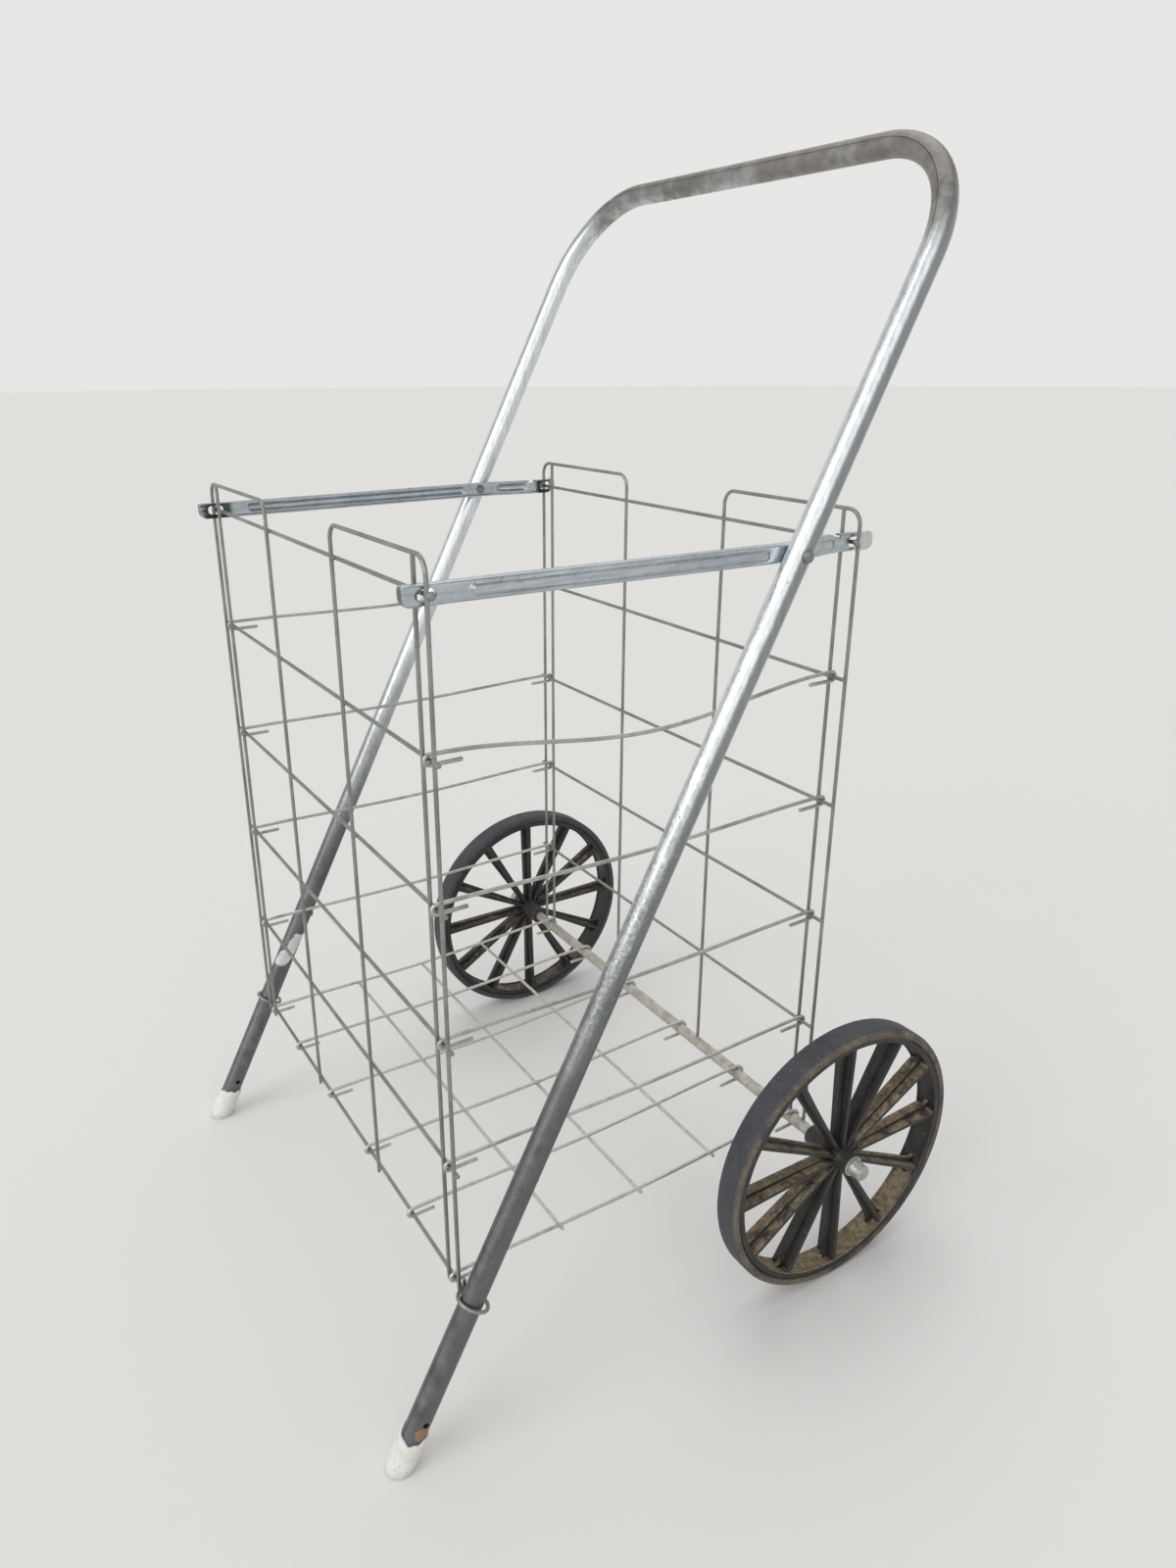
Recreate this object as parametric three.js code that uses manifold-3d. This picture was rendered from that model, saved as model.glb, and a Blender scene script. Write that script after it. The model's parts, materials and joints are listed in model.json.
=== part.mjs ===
// Folding two-wheeled wire shopping cart, in millimetres: X across, -Y front, +Y rear, +Z up.
// Two wire panels, four pairs of side wires, a wire floor and two pressed rails fold as one
// parallelogram, and the bent tube handle turns on the rails and slides through two rings.

import * as THREE from "three";
import { mergeVertices } from "three/addons/utils/BufferGeometryUtils.js";
import Module from "manifold-3d";

const wasm = await Module();
wasm.setup();

// Clearances
const FIT_GAP = 0.3;
const HOOK_CLEARANCE = 0.5;
const BORE_CLEARANCE = 0.4;
const CUTTER = 80;

// Basket wires
const WIRE = 3.2;
const WELD_SINK = 0.6;
const BASKET_WIDTH = 476;
const BASKET_DEPTH = 356;
const LEVEL_PITCH = 108.8;
const LEVEL_COUNT = 6;
const PANEL_LEAN = THREE.MathUtils.degToRad(0.74);
const CORNER_PAIR_GAP = 18;
const LOOP_WIDTH = 162;
const LOOP_RISE = 24;
const LOOP_BEND = 12;
const FRONT_WIRE_DROP = 4;

// Side wires and floor
const SIDE_WIRE_INSET = 13;
const SIDE_HOOK_TAIL = 23;
const BENT_WIRE_SAG = 17;
const FLOOR_HOOK_TAIL = 20;
const FLOOR_WIRE_X = [48, 143];
const FLOOR_CROSS_PITCH = 80;
const FLOOR_CROSS_COUNT = 3;

// Wheels and axle
const WHEEL_DIAMETER = 262;
const WHEEL_TRACK = 569;
const TYRE_WIDTH = 26;
const TYRE_THICKNESS = 7.5;
const TYRE_SHOULDER = 4;
const TYRE_SHOULDER_WIDTH = 8;
const RIM_WIDTH = 22;
const RIM_THICKNESS = 4.5;
const RIM_LIP = 1.5;
const SPOKE_COUNT = 12;
const SPOKE_THICKNESS = 4;
const FIN_DEPTH_AT_RIM = 22;
const FIN_DEPTH_AT_HUB = 16;
const RIB_WIDTH_AT_RIM = 13;
const RIB_WIDTH_AT_HUB = 6;
const HUB_DIAMETER = 20;
const HUB_INBOARD = 32;
const HUB_OUTBOARD = 20;
const AXLE = 11;
const AXLE_BEYOND_HUB = 12;
const WASHER_DIAMETER = 19;
const WASHER_THICKNESS = 1.5;
const CAP_DIAMETER = 16;
const CAP_CROWN = 3;

// Handle tube
const TUBE = 19;
const TUBE_WALL = 1.5;
const TUBE_SEAM = 0.9;
const HANDLE_HEIGHT = 966;
const HANDLE_BEND = 92;
const FOOT_HOLE = 5;
const FOOT_HOLE_HEIGHT = 40;
const LEG_RIVET_HEIGHT = 226;
const LEG_RIVET_HEAD = 7;
const LEG_RIVET_RISE = 1.9;
const LEG_RIVET_SHANK = 3.5;
const LEG_RIVET_LENGTH = 4;

// Foot caps
const CAP_LENGTH = 33;
const CAP_WALL = 1.8;
const CAP_TAPER = 0.5;
const CAP_PAD = 10;

// Guide rings
const RING_CLEARANCE = 1.5;
const RING_OFFSET = 1.2;

// Rails
const RAIL_HEIGHT = 14;
const RAIL_SHEET = 1.2;
const RAIL_FLANGE = 8;
const RAIL_EDGE = 1.5;
const RAIL_CORNER_GAP = 1.6;
const RAIL_FRONT_LUG = 18;
const RAIL_REAR_LUG = 16;
const RAIL_LUG_CORNER = 6.5;
const RAIL_FLAT_AT_CORNER = 18;
const RAIL_FLAT_AT_RIVET = 18;
const RAIL_BEND = 30;
const WINDOW_LENGTH = 15;
const WINDOW_HEIGHT = 8;
const WINDOW_INSIDE = 5;
const NOTCH_LENGTH = 8;
const NOTCH_DEPTH = 3;
const NOTCH_SETBACK = 13;
const BEAD_RADIUS = 4;
const BEAD_RISE = 2.4;
const BEAD_END_GAP = 14;
const RIVET_SETBACK = 73.5;
const RIVET_SHANK = 5;
const RIVET_HEAD = 10;
const RIVET_RISE = 3.4;
const RIVET_TAIL_HEAD = 8;
const RIVET_TAIL_RISE = 1.7;

// Facets
const WIRE_SIDES = 6;
const TUBE_SIDES = 12;
const PIN_SIDES = 8;
const WHEEL_SIDES = 32;
const HOOK_STEPS = 4;
const LOOP_STEPS = 3;
const HANDLE_STEPS = 6;
const SAG_STEPS = 6;
const RAIL_STEPS = 1;
const BEAD_END_STEPS = 2;
const LUG_STEPS = 2;
const ARC_STEPS = 2;

// Places worked out from the sizes above
const AXLE_HEIGHT = WHEEL_DIAMETER / 2;
const X_AXIS = new THREE.Vector3(1, 0, 0);
const Y_AXIS = new THREE.Vector3(0, 1, 0);
const Z_AXIS = new THREE.Vector3(0, 0, 1);
const PANEL_UP = new THREE.Vector3(0, Math.sin(PANEL_LEAN), Math.cos(PANEL_LEAN));
const PANEL_REAR = new THREE.Vector3(0, Math.cos(PANEL_LEAN), -Math.sin(PANEL_LEAN));
const TOP_LEVEL = LEVEL_COUNT - 1;
const CORNER_X = BASKET_WIDTH / 2;
const SIDE_WIRE_X = CORNER_X - SIDE_WIRE_INSET;
const RING_RADIUS = TUBE / 2 + RING_CLEARANCE + WIRE / 2;
const LEG_X = CORNER_X + WIRE / 2 + FIT_GAP + RING_RADIUS + WIRE / 2;
const HUB_BORE = AXLE + 2 * BORE_CLEARANCE;

// Centre of the wire that a level hangs on: side -1 is the front panel and 1 the rear one.
function pivot(side, level, x = 0) {
  const foot = new THREE.Vector3(x, (side * BASKET_DEPTH) / 2, AXLE_HEIGHT);
  return foot.addScaledVector(PANEL_UP, level * LEVEL_PITCH);
}

const RIVET_POINT = pivot(1, TOP_LEVEL, LEG_X).addScaledVector(Y_AXIS, -RIVET_SETBACK);
const RING_POINT = pivot(-1, 0, LEG_X);
const LEG_UP = RIVET_POINT.clone().sub(RING_POINT).normalize();
const LEG_FRONT = new THREE.Vector3(0, -LEG_UP.z, LEG_UP.y);
const LEG_TILT = Math.atan2(LEG_UP.y, LEG_UP.z);

// Point on the right leg's centre line at a height above the ground.
function legPoint(height) {
  return RING_POINT.clone().addScaledVector(LEG_UP, (height - RING_POINT.z) / LEG_UP.z);
}

// Solids

function solidOf(geometry) {
  const bare = geometry.index ? geometry.toNonIndexed() : geometry.clone();
  bare.deleteAttribute("normal");
  bare.deleteAttribute("uv");
  const merged = mergeVertices(bare, 1e-4);
  const vertProperties = new Float32Array(merged.attributes.position.array);
  const triVerts = new Uint32Array(merged.index.array);
  const mesh = new wasm.Mesh({ numProp: 3, vertProperties, triVerts });
  mesh.merge();
  return new wasm.Manifold(mesh);
}

function geometryOf(solid) {
  const { vertProperties, triVerts } = solid.getMesh();
  const geometry = new THREE.BufferGeometry();
  geometry.setAttribute("position", new THREE.BufferAttribute(vertProperties, 3));
  geometry.setIndex(new THREE.BufferAttribute(triVerts, 1));
  geometry.computeVertexNormals();
  return geometry;
}

function join(solids) {
  return solids.reduce((whole, piece) => whole.add(piece));
}

function cut(solid, tools) {
  return tools.reduce((whole, tool) => whole.subtract(tool), solid);
}

// The same shape on the other side of the cart.
function mirrored(geometry) {
  const copy = geometry.clone().scale(-1, 1, 1);
  const index = copy.index.array;
  for (let i = 0; i < index.length; i += 3) {
    const swap = index[i];
    index[i] = index[i + 1];
    index[i + 1] = swap;
  }
  copy.computeVertexNormals();
  return copy;
}

// Routes of wires and tubes: straight runs and round bends in one plane.
class Route extends THREE.Curve {
  constructor(start, heading, normal) {
    super();
    this.normal = normal.clone();
    this.points = [start.clone()];
    this.headings = [heading.clone().normalize()];
  }

  add(point, heading) {
    this.points.push(point);
    this.headings.push(heading.normalize());
    return this;
  }

  run(length) {
    const heading = this.headings.at(-1).clone();
    return this.add(this.points.at(-1).clone().addScaledVector(heading, length), heading);
  }

  bend(angle, radius, steps) {
    const start = this.points.at(-1);
    const heading = this.headings.at(-1);
    const toCentre = this.normal.clone().cross(heading).multiplyScalar(radius * Math.sign(angle));
    const centre = start.clone().add(toCentre);
    for (let step = 1; step <= steps; step += 1) {
      const turn = (angle * step) / steps;
      const spoke = toCentre.clone().negate().applyAxisAngle(this.normal, turn);
      this.add(centre.clone().add(spoke), heading.clone().applyAxisAngle(this.normal, turn));
    }
    return this;
  }

  // A run that ends level with its start and bows to one side in between.
  bow(length, depth, steps) {
    const start = this.points.at(-1);
    const heading = this.headings.at(-1);
    const aside = this.normal.clone().cross(heading);
    for (let step = 1; step <= steps; step += 1) {
      const share = step / steps;
      const offset = depth * Math.sin(Math.PI * share) ** 2;
      const slope = ((depth * Math.PI) / length) * Math.sin(2 * Math.PI * share);
      const point = start.clone().addScaledVector(heading, length * share).addScaledVector(aside, offset);
      this.add(point, heading.clone().addScaledVector(aside, slope));
    }
    return this;
  }

  // Two opposite bends that step a run sideways.
  joggle(length, offset, radius, steps) {
    const size = Math.abs(offset);
    const straight = Math.sqrt(length ** 2 + (2 * radius - size) ** 2 - 4 * radius ** 2);
    const angle = Math.atan2(2 * radius, straight) - Math.atan2(2 * radius - size, length);
    const turn = angle * Math.sign(offset);
    return this.bend(turn, radius, steps).run(straight).bend(-turn, radius, steps);
  }

  getPointAt(share) {
    return this.points[Math.round(share * (this.points.length - 1))].clone();
  }

  getTangentAt(share) {
    return this.headings[Math.round(share * (this.headings.length - 1))].clone();
  }

  computeFrenetFrames() {
    const tangents = this.headings;
    const normals = tangents.map(() => this.normal);
    const binormals = tangents.map((tangent) => tangent.clone().cross(this.normal));
    return { tangents, normals, binormals };
  }

  sweep(shape) {
    const steps = this.points.length - 1;
    return solidOf(new THREE.ExtrudeGeometry(shape, { extrudePath: this, steps }));
  }
}

function roundShape(radius, sides) {
  const corner = (_, i) => {
    const angle = (2 * Math.PI * i) / sides;
    return new THREE.Vector2(radius * Math.cos(angle), radius * Math.sin(angle));
  };
  return new THREE.Shape(Array.from({ length: sides }, corner));
}

// Tube section with an open butt seam at angle zero.
function seamedTubeShape() {
  const inner = TUBE / 2 - TUBE_WALL;
  const seamAngle = TUBE_SEAM / TUBE;
  const arc = (radius) => (_, i) => {
    const angle = seamAngle + ((2 * Math.PI - 2 * seamAngle) * i) / TUBE_SIDES;
    return new THREE.Vector2(radius * Math.cos(angle), radius * Math.sin(angle));
  };
  const outside = Array.from({ length: TUBE_SIDES + 1 }, arc(TUBE / 2));
  const inside = Array.from({ length: TUBE_SIDES + 1 }, arc(inner));
  return new THREE.Shape([...outside, ...inside.reverse()]);
}

const WIRE_SHAPE = roundShape(WIRE / 2, WIRE_SIDES);

function turned(profile, sides) {
  const points = profile.map(([radius, along]) => new THREE.Vector2(radius, along));
  return new THREE.LatheGeometry(points, sides);
}

// A turned piece with its axis along X and its profile running towards +X.
function turnedOnX(profile, sides) {
  return turned(profile, sides).rotateZ(-Math.PI / 2);
}

// Quarter of an ellipse as [radius, along] pairs, from its rim to its crown.
function domeArc(radius, rim, rise) {
  const point = (_, i) => {
    const angle = ((Math.PI / 2) * i) / ARC_STEPS;
    return [radius * Math.cos(angle), rim + rise * Math.sin(angle)];
  };
  return [...Array.from({ length: ARC_STEPS }, point), [0, rim + rise]];
}

function crossPin(diameter, length, centre) {
  const pin = new THREE.CylinderGeometry(diameter / 2, diameter / 2, length, PIN_SIDES);
  return solidOf(pin.rotateZ(Math.PI / 2).translate(centre.x, centre.y, centre.z));
}

// Wire panels

function panelLoop(side, hand, bottom) {
  const standOff = side * (WIRE - WELD_SINK);
  const top = TOP_LEVEL * LEVEL_PITCH + LOOP_RISE;
  const start = pivot(side, 0, hand * CORNER_X).addScaledVector(PANEL_REAR, standOff);
  const inward = (-hand * Math.PI) / 2;
  const rise = top - LOOP_BEND - bottom;
  return new Route(start.addScaledVector(PANEL_UP, bottom), PANEL_UP, PANEL_REAR)
    .run(rise)
    .bend(inward, LOOP_BEND, LOOP_STEPS)
    .run(LOOP_WIDTH - 2 * LOOP_BEND)
    .bend(inward, LOOP_BEND, LOOP_STEPS)
    .run(rise)
    .sweep(WIRE_SHAPE);
}

function panelUpright(side, hand, bottom) {
  const standOff = side * (WIRE - WELD_SINK);
  const top = TOP_LEVEL * LEVEL_PITCH + LOOP_RISE;
  const start = pivot(side, 0, hand * (CORNER_X - CORNER_PAIR_GAP)).addScaledVector(PANEL_REAR, standOff);
  return new Route(start.addScaledVector(PANEL_UP, bottom), PANEL_UP, PANEL_REAR)
    .run(top - bottom)
    .sweep(WIRE_SHAPE);
}

function panelRung(side, level) {
  const reach = CORNER_X + WIRE / 2;
  return new Route(pivot(side, level, -reach), X_AXIS, PANEL_REAR).run(2 * reach).sweep(WIRE_SHAPE);
}

function panel(side, lowestLevel, bottom) {
  const wires = [];
  for (const hand of [-1, 1]) {
    wires.push(panelLoop(side, hand, bottom));
    wires.push(panelUpright(side, hand, bottom));
  }
  for (let level = lowestLevel; level < LEVEL_COUNT; level += 1) {
    wires.push(panelRung(side, level));
  }
  return geometryOf(join(wires));
}

// Hooked wires

function sideWire(level, sag) {
  const hookRadius = WIRE + HOOK_CLEARANCE;
  const start = pivot(-1, level, SIDE_WIRE_X);
  start.y += SIDE_HOOK_TAIL;
  start.z -= hookRadius;
  const route = new Route(start, Y_AXIS.clone().negate(), X_AXIS)
    .run(SIDE_HOOK_TAIL)
    .bend(-Math.PI, hookRadius, HOOK_STEPS);
  if (sag > 0) {
    route.bow(BASKET_DEPTH, -sag, SAG_STEPS);
  } else {
    route.run(BASKET_DEPTH);
  }
  route.bend(-Math.PI, hookRadius, HOOK_STEPS).run(SIDE_HOOK_TAIL);
  return geometryOf(route.sweep(WIRE_SHAPE));
}

function floorPanel() {
  const rearRadius = AXLE / 2 + HOOK_CLEARANCE + WIRE / 2;
  const frontRadius = WIRE + HOOK_CLEARANCE;
  const slope = Math.asin((rearRadius - frontRadius) / BASKET_DEPTH);
  const wires = [];
  for (const x of [...FLOOR_WIRE_X, SIDE_WIRE_X]) {
    for (const hand of [-1, 1]) {
      const start = pivot(1, 0, hand * x);
      start.y -= FLOOR_HOOK_TAIL;
      start.z -= rearRadius;
      wires.push(
        new Route(start, Y_AXIS, X_AXIS)
          .run(FLOOR_HOOK_TAIL)
          .bend(Math.PI + slope, rearRadius, HOOK_STEPS)
          .run(BASKET_DEPTH * Math.cos(slope))
          .bend(Math.PI - slope, frontRadius, HOOK_STEPS)
          .run(FLOOR_HOOK_TAIL)
          .sweep(WIRE_SHAPE),
      );
    }
  }
  const middleHeight = AXLE_HEIGHT + (rearRadius + frontRadius) / 2;
  const reach = SIDE_WIRE_X + WIRE;
  for (let i = 0; i < FLOOR_CROSS_COUNT; i += 1) {
    const y = (i - (FLOOR_CROSS_COUNT - 1) / 2) * FLOOR_CROSS_PITCH;
    const z = middleHeight + y * Math.tan(slope) - (WIRE - WELD_SINK);
    const start = new THREE.Vector3(-reach, y, z);
    wires.push(new Route(start, X_AXIS, Z_AXIS).run(2 * reach).sweep(WIRE_SHAPE));
  }
  return geometryOf(join(wires));
}

// Handle, feet and guide rings

function handleFrame() {
  const barHeight = HANDLE_HEIGHT - TUBE / 2;
  const start = legPoint(0).addScaledVector(LEG_UP, CAP_PAD + FIT_GAP);
  const legRun = legPoint(barHeight).sub(start).dot(LEG_UP) - HANDLE_BEND;
  const tube = new Route(start, LEG_UP, LEG_FRONT)
    .run(legRun)
    .bend(Math.PI / 2, HANDLE_BEND, HANDLE_STEPS)
    .run(2 * (LEG_X - HANDLE_BEND))
    .bend(Math.PI / 2, HANDLE_BEND, HANDLE_STEPS)
    .run(legRun)
    .sweep(seamedTubeShape());
  const across = 2 * LEG_X + 2 * TUBE;
  const middle = (point) => point.clone().setX(0);
  const holes = [
    crossPin(RIVET_SHANK + 2 * BORE_CLEARANCE, across, middle(RIVET_POINT)),
    crossPin(FOOT_HOLE, across, middle(legPoint(FOOT_HOLE_HEIGHT))),
  ];
  for (const hand of [-1, 1]) {
    const hole = new THREE.CylinderGeometry(
      LEG_RIVET_SHANK / 2 + BORE_CLEARANCE,
      LEG_RIVET_SHANK / 2 + BORE_CLEARANCE,
      TUBE,
      PIN_SIDES,
    );
    const place = legPoint(LEG_RIVET_HEIGHT).addScaledVector(LEG_FRONT, -TUBE / 2);
    hole.rotateX(-LEG_TILT).translate(hand * place.x, place.y, place.z);
    holes.push(solidOf(hole));
  }
  return geometryOf(cut(tube, holes));
}

// Low domed rivet on the rear face of a leg.
function legRivet() {
  const shank = LEG_RIVET_SHANK / 2;
  const profile = [
    [0, -LEG_RIVET_LENGTH],
    [shank, -LEG_RIVET_LENGTH],
    [shank, FIT_GAP],
    ...domeArc(LEG_RIVET_HEAD / 2, FIT_GAP, LEG_RIVET_RISE),
  ];
  const place = legPoint(LEG_RIVET_HEIGHT).addScaledVector(LEG_FRONT, -TUBE / 2);
  const rivet = turned(profile, PIN_SIDES).rotateX(-LEG_TILT).translate(place.x, place.y, place.z);
  return geometryOf(solidOf(rivet));
}

// Sleeve with a closed end, cut level with the ground.
function footCap() {
  const bore = TUBE / 2 + FIT_GAP;
  const outer = bore + CAP_WALL;
  const below = TUBE;
  const profile = [
    [0, -below],
    [outer + CAP_TAPER, -below],
    [outer + CAP_TAPER, CAP_PAD],
    [outer, CAP_LENGTH - CAP_WALL],
    [outer - CAP_WALL / 2, CAP_LENGTH],
    [bore, CAP_LENGTH],
    [bore, CAP_PAD],
    [0, CAP_PAD],
  ];
  const place = legPoint(0);
  const sleeve = turned(profile, TUBE_SIDES).rotateX(Math.PI / 2 - LEG_TILT);
  const ground = new THREE.BoxGeometry(CUTTER, CUTTER, CUTTER).translate(place.x, place.y, -CUTTER / 2);
  const cap = solidOf(sleeve.translate(place.x, place.y, place.z));
  return geometryOf(cut(cap, [solidOf(ground)]));
}

function guideRing() {
  const centre = RING_POINT.clone().addScaledVector(LEG_FRONT, -RING_OFFSET);
  const ring = new THREE.TorusGeometry(RING_RADIUS, WIRE / 2, WIRE_SIDES, TUBE_SIDES);
  return geometryOf(solidOf(ring.rotateX(-LEG_TILT).translate(centre.x, centre.y, centre.z)));
}

// Rails

// Channel section: first number up, second number outwards from the middle of the web.
function railShape() {
  const half = RAIL_HEIGHT / 2;
  const face = RAIL_SHEET / 2;
  const lip = face - RAIL_FLANGE;
  const corners = [
    [-half, face - RAIL_EDGE],
    [-half, lip],
    [-half + RAIL_SHEET, lip],
    [-half + RAIL_SHEET, -face],
    [half - RAIL_SHEET, -face],
    [half - RAIL_SHEET, lip],
    [half, lip],
    [half, face - RAIL_EDGE],
    [half - RAIL_EDGE, face],
    [-half + RAIL_EDGE, face],
  ];
  return new THREE.Shape(corners.map(([up, out]) => new THREE.Vector2(up, out)));
}

// Space between the flanges, behind the web.
function railHollowShape() {
  const half = RAIL_HEIGHT / 2 - RAIL_SHEET;
  const corners = [
    [-half, -RAIL_SHEET / 2],
    [-half, -CUTTER / 2],
    [half, -CUTTER / 2],
    [half, -RAIL_SHEET / 2],
  ];
  return new THREE.Shape(corners.map(([up, out]) => new THREE.Vector2(up, out)));
}

// Half-round bead pressed outwards from the web between two points of its middle line.
function railBead(from, to, shrink) {
  const along = to.clone().sub(from);
  const radius = BEAD_RADIUS - shrink;
  const outwards = new THREE.Vector3(along.y, -along.x, 0).normalize();
  const bead = new THREE.CapsuleGeometry(radius, along.length(), BEAD_END_STEPS, PIN_SIDES);
  const middle = from.clone().add(to).multiplyScalar(0.5);
  middle.addScaledVector(outwards, RAIL_SHEET / 2 + BEAD_RISE - BEAD_RADIUS);
  bead.rotateZ(Math.atan2(-along.x, along.y)).translate(middle.x, middle.y, middle.z);
  return solidOf(bead);
}

function railWindow(end, side, x) {
  const middle = end.y + side * (WINDOW_LENGTH / 2 - WINDOW_INSIDE);
  const box = new THREE.BoxGeometry(CUTTER, WINDOW_LENGTH, WINDOW_HEIGHT);
  return solidOf(box.translate(x, middle, end.z));
}

// Gap in the top flange where the rear panel's loop lies when the cart is folded.
function railNotch(rear, x) {
  const middle = rear.y - NOTCH_SETBACK - NOTCH_LENGTH / 2;
  const box = new THREE.BoxGeometry(CUTTER, NOTCH_LENGTH, 2 * NOTCH_DEPTH);
  return solidOf(box.translate(x, middle, rear.z + RAIL_HEIGHT / 2));
}

function railOutline(front, rear, x) {
  const half = RAIL_HEIGHT / 2;
  const corner = RAIL_LUG_CORNER;
  const start = front.y - RAIL_FRONT_LUG;
  const end = rear.y + RAIL_REAR_LUG;
  const quarter = Math.PI / 2;
  const shape = new THREE.Shape();
  shape.absarc(start + corner, half - corner, corner, quarter, 2 * quarter);
  shape.absarc(start + corner, corner - half, corner, 2 * quarter, 3 * quarter);
  shape.absarc(end - corner, corner - half, corner, 3 * quarter, 4 * quarter);
  shape.absarc(end - corner, half - corner, corner, 0, quarter);
  const settings = { depth: CUTTER, bevelEnabled: false, curveSegments: LUG_STEPS };
  const plate = new THREE.ExtrudeGeometry(shape, settings);
  plate.rotateY(Math.PI / 2).rotateX(Math.PI / 2).translate(x - CUTTER / 2, 0, front.z);
  return solidOf(plate);
}

function rail() {
  const front = pivot(-1, TOP_LEVEL);
  const rear = pivot(1, TOP_LEVEL);
  const cornerWeb = CORNER_X - WIRE / 2 - RAIL_CORNER_GAP - RAIL_SHEET / 2;
  const rivetWeb = LEG_X - TUBE / 2 - FIT_GAP - RAIL_SHEET / 2;
  const step = rivetWeb - cornerWeb;
  const kneeFront = front.y + RAIL_FLAT_AT_CORNER;
  const kneeRear = rear.y - RAIL_FLAT_AT_CORNER;
  const padFront = RIVET_POINT.y - RAIL_FLAT_AT_RIVET / 2;
  const padRear = RIVET_POINT.y + RAIL_FLAT_AT_RIVET / 2;
  const start = new THREE.Vector3(cornerWeb, front.y - RAIL_FRONT_LUG, front.z);
  const route = new Route(start, Y_AXIS, Z_AXIS)
    .run(kneeFront - start.y)
    .joggle(padFront - kneeFront, -step, RAIL_BEND, RAIL_STEPS)
    .run(padRear - padFront)
    .joggle(kneeRear - padRear, step, RAIL_BEND, RAIL_STEPS)
    .run(rear.y + RAIL_REAR_LUG - kneeRear);
  const hollow = route.sweep(railHollowShape());
  const channel = route.sweep(railShape()).intersect(railOutline(front, rear, cornerWeb));
  const web = (y) => {
    const inFront = (y - kneeFront) / (padFront - kneeFront);
    const behind = (kneeRear - y) / (kneeRear - padRear);
    return new THREE.Vector3(cornerWeb + step * Math.min(inFront, behind, 1), y, front.z);
  };
  const beads = [
    [web(kneeFront + BEAD_END_GAP), web(padFront - BEAD_END_GAP)],
    [web(padRear + BEAD_END_GAP), web(kneeRear - BEAD_END_GAP / 2)],
  ];
  const raised = beads.map(([from, to]) => railBead(from, to, 0).subtract(hollow));
  const hollows = beads.map(([from, to]) => railBead(from, to, RAIL_SHEET));
  const openings = [
    railWindow(front, -1, cornerWeb),
    railWindow(rear, 1, cornerWeb),
    railNotch(rear, cornerWeb),
    crossPin(RIVET_SHANK + 2 * BORE_CLEARANCE, 2 * RAIL_FLANGE, RIVET_POINT.clone().setX(rivetWeb)),
  ];
  return geometryOf(cut(join([channel, ...raised]), [...hollows, ...openings]));
}

// Rivet through leg and rail, with a domed head outside and a flat one inside the channel.
function railRivet() {
  const webInside = LEG_X - TUBE / 2 - 2 * FIT_GAP - RAIL_SHEET;
  const headFace = LEG_X + TUBE / 2 + FIT_GAP;
  const shank = RIVET_SHANK / 2;
  const profile = [
    [0, webInside - RIVET_TAIL_RISE],
    [RIVET_TAIL_HEAD / 2, webInside - RIVET_TAIL_RISE],
    [RIVET_TAIL_HEAD / 2, webInside],
    [shank, webInside],
    [shank, headFace],
    ...domeArc(RIVET_HEAD / 2, headFace, RIVET_RISE),
  ];
  const rivet = turnedOnX(profile, PIN_SIDES).translate(0, RIVET_POINT.y, RIVET_POINT.z);
  return geometryOf(solidOf(rivet));
}

// Wheels and axle: the wheel's middle plane is at x = 0 and its outer side faces +X.

const RIM_RADIUS = WHEEL_DIAMETER / 2 - TYRE_THICKNESS - FIT_GAP;

function tyre() {
  const tread = WHEEL_DIAMETER / 2;
  const bore = tread - TYRE_THICKNESS;
  const half = TYRE_WIDTH / 2;
  const shoulder = domeArc(TYRE_SHOULDER_WIDTH, tread - TYRE_SHOULDER, TYRE_SHOULDER);
  const profile = [[bore, -half]];
  for (const [inward, radius] of shoulder) {
    profile.push([radius, TYRE_SHOULDER_WIDTH - half - inward]);
  }
  for (const [inward, radius] of shoulder.reverse()) {
    profile.push([radius, half - TYRE_SHOULDER_WIDTH + inward]);
  }
  profile.push([bore, half], [bore, -half]);
  return geometryOf(solidOf(turnedOnX(profile, WHEEL_SIDES)));
}

// One spoke along +Z: a deep fin across the rim's width and a flat rib in the wheel's plane.
function spoke() {
  const from = HUB_DIAMETER / 2 - RIM_LIP;
  const to = RIM_RADIUS - RIM_THICKNESS / 2;
  const blade = (widthAtHub, widthAtRim) => {
    const shape = new THREE.Shape();
    shape.moveTo(-widthAtHub / 2, from);
    shape.lineTo(widthAtHub / 2, from);
    shape.lineTo(widthAtRim / 2, to);
    shape.lineTo(-widthAtRim / 2, to);
    const plate = new THREE.ExtrudeGeometry(shape, { depth: SPOKE_THICKNESS, bevelEnabled: false });
    return plate.translate(0, 0, -SPOKE_THICKNESS / 2).rotateX(Math.PI / 2);
  };
  const fin = blade(FIN_DEPTH_AT_HUB, FIN_DEPTH_AT_RIM);
  const rib = blade(RIB_WIDTH_AT_HUB, RIB_WIDTH_AT_RIM).rotateZ(Math.PI / 2);
  return [fin, rib];
}

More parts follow.
